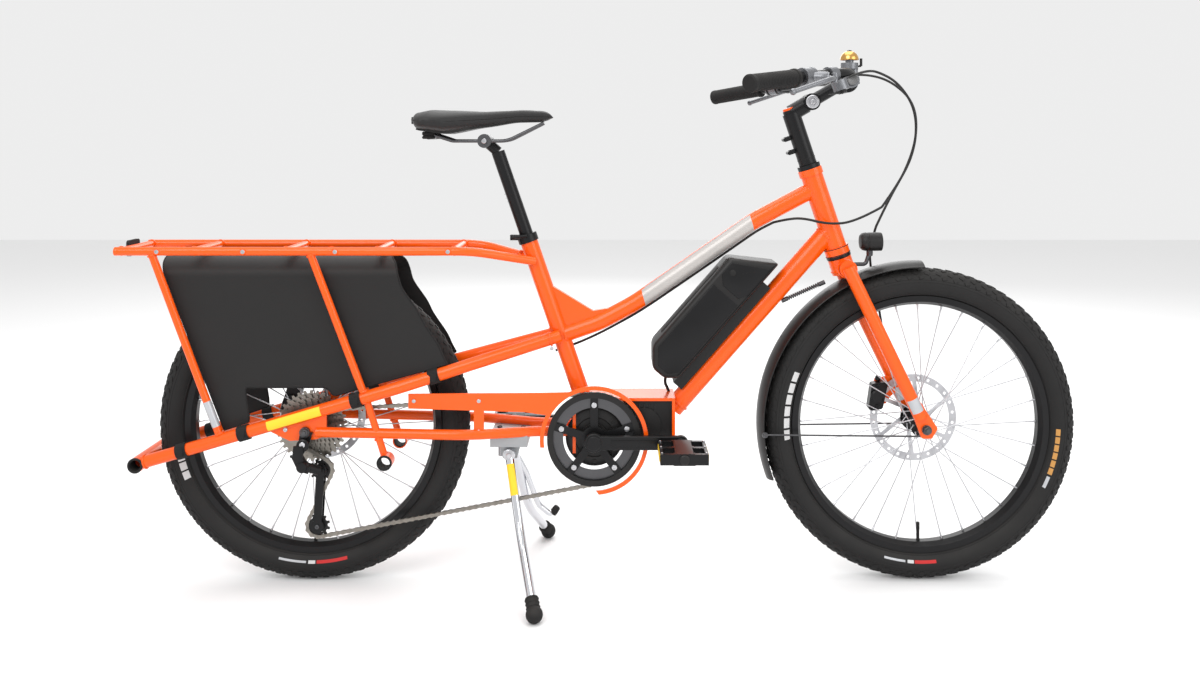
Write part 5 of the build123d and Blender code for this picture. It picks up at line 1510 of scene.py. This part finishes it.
class BICYCLE_OT_cables(bpy.types.Operator):
    """Gear casing and brake hose from the handlebar, and the steering spring"""

    bl_idname = "bicycle.cables"
    bl_label = "Cables"

    def execute(self, context):
        radius = context.scene.bicycle_sizes.cable_radius
        upper = [tube([mm(*point) for point in route], radius, 4, steps=14) for route in (CASING_ROUTE,
                                                                                          HOSE_ROUTE)]
        upper = placed(joined(upper), "bar_casings", None, "cable", 60, ("bar_cables",))
        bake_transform(upper)
        lower = tube([mm(*point) for point in CASING_LOWER], radius, 4, steps=14)
        lower = placed(lower, "gear_casing", None, "cable", 60, ("steer_cables",))
        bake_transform(lower)
        hose = tube([mm(*point) for point in HOSE_LOWER], radius, 4, steps=14)
        placed(hose, "front_brake_hose", "fork", "cable", 60)
        ends = []
        for route in (CASING_ROUTE, HOSE_ROUTE):
            start, after = mm(*route[0]), mm(*route[1])
            ends.append(turned([(0.0030, -0.006), (0.0036, -0.004), (0.0036, 0.004), (0.0030, 0.010)],
                               start,
                               after - start, 20))
        placed(joined(ends), "casing_ferrules", "bars", "dark steel")
        tip, before = mm(*HOSE_LOWER[-1]), mm(*HOSE_LOWER[-2])
        boot = turned([(0.0032, -0.010), (0.0042, -0.004), (0.0042, 0.003), (0.0034, 0.005)], tip,
                      tip - before, 20)
        placed(boot, "hose_boot", "fork", "rubber")
        ties = [hoop(mm(570, 61.5, 572), (0.2, 0.1, -1), 0.0034, 0.0008, 20, 6)]
        placed(joined(ties), "hose_tie", "fork", "plastic", 60)
        start, end = mm(366, 0, 560), mm(452, 0, 598)
        along = (end - start).normalized()
        first, second = frame_axes(along)
        length = (end - start).length
        coil = []
        turns = 15
        for step in range(turns * 8 + 1):
            angle = TURN * step / 8
            reach = 0.012 + (length - 0.026) * step / (turns * 8)
            coil.append(start + along * reach + (first * math.cos(angle) + second * math.sin(angle)) * 0.0042)
        spring = tube(coil, 0.0010, 2, steps=3)
        core = rod(start, end, 0.0026, 20)
        eyes = [rod(start - along * 0.002, start + along * 0.012, 0.0046, 24),
                rod(end - along * 0.014, end, 0.0046, 24)]
        spring = placed(joined([spring, core, *eyes]), "steering_spring", None,
                        "dark steel", 40,
                        ("stabiliser",))
        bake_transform(spring)
        return {"FINISHED"}


# ---------------------------------------------------------------- saddle and skirt

SADDLE_WIDTH = ((-383, 50), (-376, 66), (-358, 82), (-340, 84), (-318, 81), (-288, 65), (-258, 46),
                (-225, 32),
                (-190, 23.5), (-150, 20), (-120, 18.5), (-104, 14), (-98, 9))
SADDLE_TOP = ((-383, 930), (-372, 941), (-340, 947), (-290, 945.5), (-236, 943.5), (-190, 945.5),
              (-160, 947), (-120, 945),
              (-106, 941), (-98, 934))
SADDLE_BOTTOM = ((-383, 921), (-366, 906), (-310, 899), (-236, 912), (-170, 922), (-120, 923),
                 (-98, 928))


def along_table(table, x):
    """A value read from a table of (x, value) pairs."""
    for (x0, v0), (x1, v1) in zip(table, table[1:]):
        if x <= x1:
            share = max(0.0, (x - x0) / (x1 - x0))
            share = share * share * (3 - 2 * share) * 0.35 + share * 0.65
            return v0 + (v1 - v0) * share
    return table[-1][1]


SADDLE_REAR = -382
SADDLE_LENGTH = 283.5


class BICYCLE_OT_saddle(bpy.types.Operator):
    """Padded saddle with its cover seams, rear panel, bumpers and clamp bolts"""

    bl_idname = "bicycle.saddle"
    bl_label = "Saddle"

    def execute(self, context):
        def place(u, v):
            x = SADDLE_REAR + SADDLE_LENGTH * (0.5 - 0.5 * math.cos(math.pi * u)) * 0.35 + SADDLE_LENGTH * u * 0.65
            angle = TURN * v
            end = min(1.0, 4.2 * math.sqrt(max(0.0, u * (1 - u))))
            wide = along_table(SADDLE_WIDTH, x) * end
            top, bottom = along_table(SADDLE_TOP, x), along_table(SADDLE_BOTTOM, x)
            middle_z, half = (top + bottom) / 2, (top - bottom) / 2 * end
            cosine, sine = math.cos(angle), math.sin(angle)
            y = wide * math.copysign(abs(cosine) ** 0.62, cosine)
            z = middle_z + half * math.copysign(abs(sine) ** 0.72, sine)
            if sine > 0:
                z -= 5.0 * (abs(y) / 84) ** 2.0 * (1 - u)
                z -= 3.2 * math.exp(-((y / 8.0) ** 2)) * max(0.0,
                                                             math.sin(math.pi * min(1.0, u * 1.25)))
            return mm(x, y, z)

        cover = patch(place, 64, 56)
        edit(cover)
        bpy.ops.mesh.remove_doubles(threshold=0.00005)
        bpy.ops.mesh.normals_make_consistent(inside=False)
        done(cover)
        apply_modifier(cover, "SUBSURF", levels=1, render_levels=1)
        cover = placed(cover, "saddle_cover", "seat", "saddle", 60, ("saddle",))
        seams = []
        for side in (-1, 1):
            line = []
            for step in range(27):
                x = -374 + 268 * step / 26
                wide = along_table(SADDLE_WIDTH, x) * 0.985
                top, bottom = along_table(SADDLE_TOP, x), along_table(SADDLE_BOTTOM, x)
                line.append(mm(x, side * wide, (top + bottom) / 2 - 1 + (top - bottom) * 0.02))
            seams.append(tube(line, 0.0011, 2, steps=4))
        placed(joined(seams), "saddle_seams", "seat", "rubber", 60)
        base = patch(lambda u, v: mm(-368 + 250 * u, (v * 2 - 1) * 0.72 * along_table(SADDLE_WIDTH,
                                                                                      -368 + 250 * u),
                                     along_table(SADDLE_BOTTOM, -368 + 250 * u) + 1.0), 30, 10, 0.004)
        placed(base, "saddle_base", "seat", "plastic", 40)
        bumpers = []
        for side in (-1, 1):
            bumpers.append(turned([(0.0105, 0), (0.0130, 0.0015), (0.0130, 0.0045), (0.0108, 0.0065),
                                   (0.0130, 0.0085),
                                   (0.0130, 0.0130), (0.0105, 0.0150)], mm(-346, side * 34, 888), UP,
                                   32))
        placed(joined(bumpers), "saddle_bumpers", "seat", "rubber", 30)
        panel = block((-0.3815, -0.030, 0.918), (-0.3775, 0.030, 0.932), 0.0012)
        placed(panel, "saddle_rear_panel", "seat", "rubber")
        bolts = [bolt_head(mm(-236, side * 30.6, 884), ACROSS * side, 0.0052, 0.0034) for side in (-1,
                                                                                                   1)]
        placed(joined(bolts), "saddle_clamp_bolts", "seat", "steel")
        marks = []
        axis_low, axis_high = mm(-155, 0, 705), mm(-222, 0, 861)
        for step in range(9):
            spot = between(axis_low, axis_high, 0.08 + 0.05 * step)
            marks.append(wrap(spot, spot + (axis_high - axis_low).normalized() * 0.0007, 0.0137, -150,
                              -110, 0, 2, 8,
                              0.0002))
        placed(joined(marks), "seat_post_marks", "seat", "reflector")
        return {"FINISHED"}


SKIRT_FRONT = ((300, -300), (432, -300), (470, -318), (540, -360), (600, -398), (640, -408),
               (655, -425))


def skirt_bottom(x):
    """The height of the skirt's lower edge at x, in millimetres, open behind the sprockets."""
    plain = stay_height(x) + 14.5
    rise = max(0.0, min(1.0, (x + 690) / 14)) * max(0.0, min(1.0, (-514 - x) / 14))
    return plain + max(0.0, 398 - plain) * rise * rise * (3 - 2 * rise)


SKIRT_ARCH_SHARE = 0.2
SKIRT_HALF_WIDTH = 59.2
SKIRT_SPRINGING = 617
SKIRT_ARCH_RISE = 37.2


def skirt_place(u, v):
    """A point of the skirt: u runs forward, v goes from its right edge over the top to its left edge."""
    side = 1 if v > 0.5 else -1
    share = abs(2 * v - 1)
    low = skirt_bottom(-745 + 445 * u)
    if share < SKIRT_ARCH_SHARE:
        angle = share / SKIRT_ARCH_SHARE * math.pi / 2
        y, z = SKIRT_HALF_WIDTH * math.sin(angle), SKIRT_SPRINGING + SKIRT_ARCH_RISE * math.cos(angle)
        fold = 0.0
    else:
        drop = (share - SKIRT_ARCH_SHARE) / (1 - SKIRT_ARCH_SHARE)
        y, z = SKIRT_HALF_WIDTH, SKIRT_SPRINGING - (SKIRT_SPRINGING - low) * drop
        fold = drop * (1 - drop) * 4
    rear = -876 + (655 - z) / 340 * 131
    front = along_table(SKIRT_FRONT, z)
    x = rear + (front - rear) * u
    wave = 1.5 * math.sin(3.1 * u * math.pi + 0.6) + 0.8 * math.sin(7.3 * u * math.pi + 2.1 * share)
    y += fold * wave - 1.2 * fold
    return mm(x, side * y, z)


class BICYCLE_OT_skirt(bpy.types.Operator):
    """The cloth skirt over the rear wheel, its hem cord, straps and tail light lens"""

    bl_idname = "bicycle.skirt"
    bl_label = "Wheel skirt"

    def execute(self, context):
        cloth = patch(skirt_place, 110, 90)
        apply_modifier(cloth, "SOLIDIFY", thickness=context.scene.bicycle_sizes.skirt_thickness,
                       offset=0)
        placed(cloth, "skirt_cloth", "frame", "skirt", 50, ("wheel_skirt",))
        hems = []
        for v in (0.0, 1.0):
            hems.append(tube([skirt_place(step / 90, v) for step in range(91)], 0.0019, 2, steps=2))
        for u in (0.0, 1.0):
            hems.append(tube([skirt_place(u, step / 60) for step in range(61)], 0.0019, 2, steps=2))
        hem = placed(joined(hems), "skirt_hem", "frame", "strap", 60)
        stitches = []
        for side in (-1, 1):
            for step in range(70):
                u = 0.012 + 0.976 * step / 69
                spot = skirt_place(u, 0.5 + side * 0.488)
                stitches.append(block(spot - mm(1.6, 0.4, 0.35) + mm(0, side * 0.8, 0),
                                      spot + mm(1.6, 0.4, 0.35) + mm(0, side * 0.8, 0)))
        stitch = placed(joined(stitches), "skirt_stitches", "frame", "strap")
        straps = []
        for x in (-820, -700, -480, -330):
            for side in (-1, 1):
                y = 75 if x < -400 else 62
                start, end = mm(x - 10, side * y, stay_height(x - 10)), mm(x + 10, side * y,
                                                                           stay_height(x + 10))
                straps.append(wrap(start, end, 0.0146, 0, 359.9, 0, 4, 40, 0.0012))
                buckle = between(start, end, 0.5) + ACROSS * side * 0.0152
                straps.append(block(buckle - mm(6, 1.2, 8), buckle + mm(6, 1.2, 8), 0.0008))
        placed(joined(straps), "skirt_straps", "frame", "strap", 40)
        lens = block((-0.9553, -0.0215, 0.6545), (-0.9505, 0.0215, 0.6815), 0.0015, 3)
        placed(lens, "tail_light_lens", "frame", "tail lens")
        bezel = [block((-0.9551, y, 0.653), (-0.9500, y + 0.0016, 0.683), 0.0004) for y in (-0.0085,
                                                                                            0.0069)]
        placed(joined(bezel), "tail_light_bars", "frame", "plastic")
        liners = []
        for x, z in ((-908, 252), (-423, 257)):
            for side in (-1, 1):
                liners.append(hoop(mm(x, side * 88.6, z), ACROSS, 0.0132, 0.0012, 40, 8))
        placed(joined(liners), "tube_end_rings", "frame", "rubber", 60)
        return {"FINISHED"}


class BICYCLE_OT_stand(bpy.types.Operator):
    """Pivot bolt, return spring, lever pad and foot ribs of the centre stand"""

    bl_idname = "bicycle.stand"
    bl_label = "Centre stand"

    def execute(self, context):
        centre = pivot("stand_fold")
        bolts = []
        for side in (-1, 1):
            bolts.append(turned([(0.0108, 0), (0.0114, 0.001), (0.0114, 0.0034), (0.0090, 0.0046)],
                                Vector((centre.x, side * 0.0378, centre.z)), ACROSS * side, 36))
            bolts.append(turned([(0.0060, 0), (0.0062, 0.001), (0.0062, 0.0060), (0.0050, 0.0070)],
                                Vector((centre.x, side * 0.0400, centre.z)), ACROSS * side, 6))
        placed(joined(bolts), "stand_pivot_bolts", "stand", "steel", 30)
        ribs = []
        for side in (-1, 1):
            knee, foot = mm(-157, side * 86, 112), mm(-122, side * 205, 16)
            along = (foot - knee).normalized()
            ribs += [hoop(between(knee, foot, share), along, 0.0127, 0.0009, 32, 6) for share in (0.82,
                                                                                                  0.87,
                                                                                                  0.92,
                                                                                                  0.97)]
        placed(joined(ribs), "stand_foot_ribs", "stand", "rubber", 60)
        pad = turned([(0.0058, -0.001), (0.0076, 0), (0.0080, 0.006), (0.0070, 0.016), (0.0050, 0.018)],
                     mm(-105, 80.6, 99), (0.6, 0.12, 0.8), 28)
        placed(pad, "stand_lever_pad", "stand", "rubber")
        plate = [bolt_head(mm(-185 + x, y, 299), UP, 0.0050, 0.0034) for x in (-24, 24) for y in (-14,
                                                                                                  14)]
        placed(joined(plate), "stand_bracket_bolts", "frame", "dark steel")
        coil = []
        for step in range(12 * 8 + 1):
            angle = TURN * step / 8
            coil.append(mm(-205 + 5 * math.cos(angle), 5 * math.sin(angle), 268 - 0.23 * step))
        spring = tube(coil, 0.0011, 2, steps=3)
        placed(spring, "stand_spring", "frame", "steel", 60)
        return {"FINISHED"}


# ---------------------------------------------------------------- frame


class BICYCLE_OT_frame(bpy.types.Operator):
    """Paint the frame, fork and rack"""

    bl_idname = "bicycle.frame"
    bl_label = "Frame paint"

    def execute(self, context):
        for node in ("head_tube", "top_tube", "down_tube", "seat_tube", "rear_stays", "frame_brackets",
                     "rack", "rack_struts", "chain_guard", "fork"):
            coat_node(node, "paint")
        for node in ("motor_unit", "battery_mount", "battery_case"):
            coat_node(node, "plastic")
        coat_node("front_fender", "fender")
        for node in ("rack_trim", "grips", "stand_feet"):
            coat_node(node, "rubber")
        for node in ("headset_and_collar", "rear_caliper", "front_caliper", "stem_base", "stem_arm",
                     "handlebar",
                     "front_rim", "rear_rim", "chainring", "cranks", "derailleur_body",
                     "derailleur_cage",
                     "seat_post"):
            coat_node(node, "alloy")
        for node in ("bar_fittings", "brake_lever_left", "brake_lever_right"):
            coat_node(node, "grey")
        for node in ("guide_pulley", "tension_pulley", "shift_lever", "bell_striker", "head_light"):
            coat_node(node, "plastic")
        for node in ("front_spokes", "rear_spokes"):
            coat_node(node, "steel")
        for node in ("fork_hardware", "rear_axle", "saddle_rails", "stabiliser"):
            coat_node(node, "dark steel")
        coat_node("stand_bracket", "cast")
        coat_node("stand_legs", "chrome")
        # The cassette and chain take the chain steel, whose brown tint is a painted reflection of the orange
        # frame.
        coat_node("cassette", "chain")
        coat_node("chain", "chain")
        coat_node("bell_dome", "brass")
        coat_node("front_hub", "front disc")
        coat_node("rear_hub", "rear disc")
        coat_node("wheel_skirt", "skirt")
        coat_node("saddle", "saddle")
        for node in ("steer_cables", "frame_cables", "bar_cables"):
            coat_node(node, "cable")
        for node in ("front_tyre", "rear_tyre"):
            coat_node(node, "tyre")
        for node in ("pedal_left", "pedal_right"):
            coat_node(node, "alloy")
        return {"FINISHED"}


# ---------------------------------------------------------------- stage


class BICYCLE_OT_stage(bpy.types.Operator):
    """Lay a pale floor, hang soft lights and set the camera"""

    bl_idname = "bicycle.stage"
    bl_label = "Stage"

    def execute(self, context):
        deselect()
        bpy.ops.mesh.primitive_plane_add(size=14, location=(0, 0, 0))
        floor = bpy.context.object
        floor.name = "floor"
        pale = bpy.data.materials.new("Pale floor")
        pale.use_nodes = True
        pale.node_tree.nodes["Principled BSDF"].inputs["Base Color"].default_value = (0.86, 0.86, 0.86,
                                                                                      1)
        pale.node_tree.nodes["Principled BSDF"].inputs["Roughness"].default_value = 0.9
        floor.data.materials.append(pale)
        world = bpy.data.worlds.new("Studio air")
        world.use_nodes = True
        world.node_tree.nodes["Background"].inputs["Color"].default_value = (1, 1, 1, 1)
        world.node_tree.nodes["Background"].inputs["Strength"].default_value = 0.85
        context.scene.world = world
        centre = (cad_low + cad_high) / 2
        lamps = (
            ("key", (-1.6, -3.2, 3.4), 2.6, 95),
            ("fill", (2.8, -2.6, 1.9), 2.4, 45),
            ("top", (0.2, 0.4, 3.8), 3.0, 70),
            ("back", (0.5, 3.2, 2.4), 2.6, 45),
        )
        for name, place, size, power in lamps:
            lamp = bpy.data.lights.new(name, "AREA")
            lamp.size = size
            lamp.energy = power
            holder = bpy.data.objects.new(name, lamp)
            holder.location = place
            holder.rotation_euler = (centre - Vector(place)).to_track_quat("-Z", "Y").to_euler()
            context.scene.collection.objects.link(holder)
        lens = bpy.data.cameras.new("camera")
        view_distance = 2.12
        view_width = 2.436
        eye_height = 0.89
        aim_height = 0.485
        lens.sensor_width = 36
        lens.lens = lens.sensor_width * view_distance / view_width
        lens.shift_x = -0.012
        lens.shift_y = (aim_height - eye_height) / view_width
        camera = bpy.data.objects.new("camera", lens)
        camera.location = (0.025, -view_distance, eye_height)
        camera.rotation_euler = (math.pi / 2, 0, 0)
        context.scene.collection.objects.link(camera)
        context.scene.camera = camera
        context.scene.view_settings.view_transform = "Standard"
        return {"FINISHED"}


class BICYCLE_PT_panel(bpy.types.Panel):
    """The bicycle's steps in the sidebar"""

    bl_label = "Cargo Bicycle"
    bl_idname = "BICYCLE_PT_panel"
    bl_space_type = "VIEW_3D"
    bl_region_type = "UI"
    bl_category = "Bicycle"

    def draw(self, context):
        for step in STEPS:
            self.layout.operator(step.bl_idname)
        for group in (context.scene.bicycle_sizes, context.scene.bicycle_colours):
            for label in group.__annotations__:
                self.layout.prop(group, label)


STEPS = (
    BICYCLE_OT_stage,
    BICYCLE_OT_frame,
    BICYCLE_OT_tyres,
    BICYCLE_OT_wheels,
    BICYCLE_OT_drive,
    BICYCLE_OT_welds,
    BICYCLE_OT_markings,
    BICYCLE_OT_battery,
    BICYCLE_OT_front,
    BICYCLE_OT_cables,
    BICYCLE_OT_saddle,
    BICYCLE_OT_skirt,
    BICYCLE_OT_stand,
)
CLASSES = (BICYCLE_sizes, BICYCLE_colours, *STEPS, BICYCLE_PT_panel)


def register():
    """Register the classes and their settings."""
    for kind in CLASSES:
        bpy.utils.register_class(kind)
    bpy.types.Scene.bicycle_sizes = bpy.props.PointerProperty(type=BICYCLE_sizes)
    bpy.types.Scene.bicycle_colours = bpy.props.PointerProperty(type=BICYCLE_colours)


def unregister():
    """Take the classes and their settings away."""
    del bpy.types.Scene.bicycle_colours
    del bpy.types.Scene.bicycle_sizes
    for kind in reversed(CLASSES):
        bpy.utils.unregister_class(kind)


def main():
    """Run every step in order."""
    register()
    for step in STEPS:
        area, name = step.bl_idname.split(".")
        getattr(getattr(bpy.ops, area), name)()


if __name__ == "__main__":
    main()
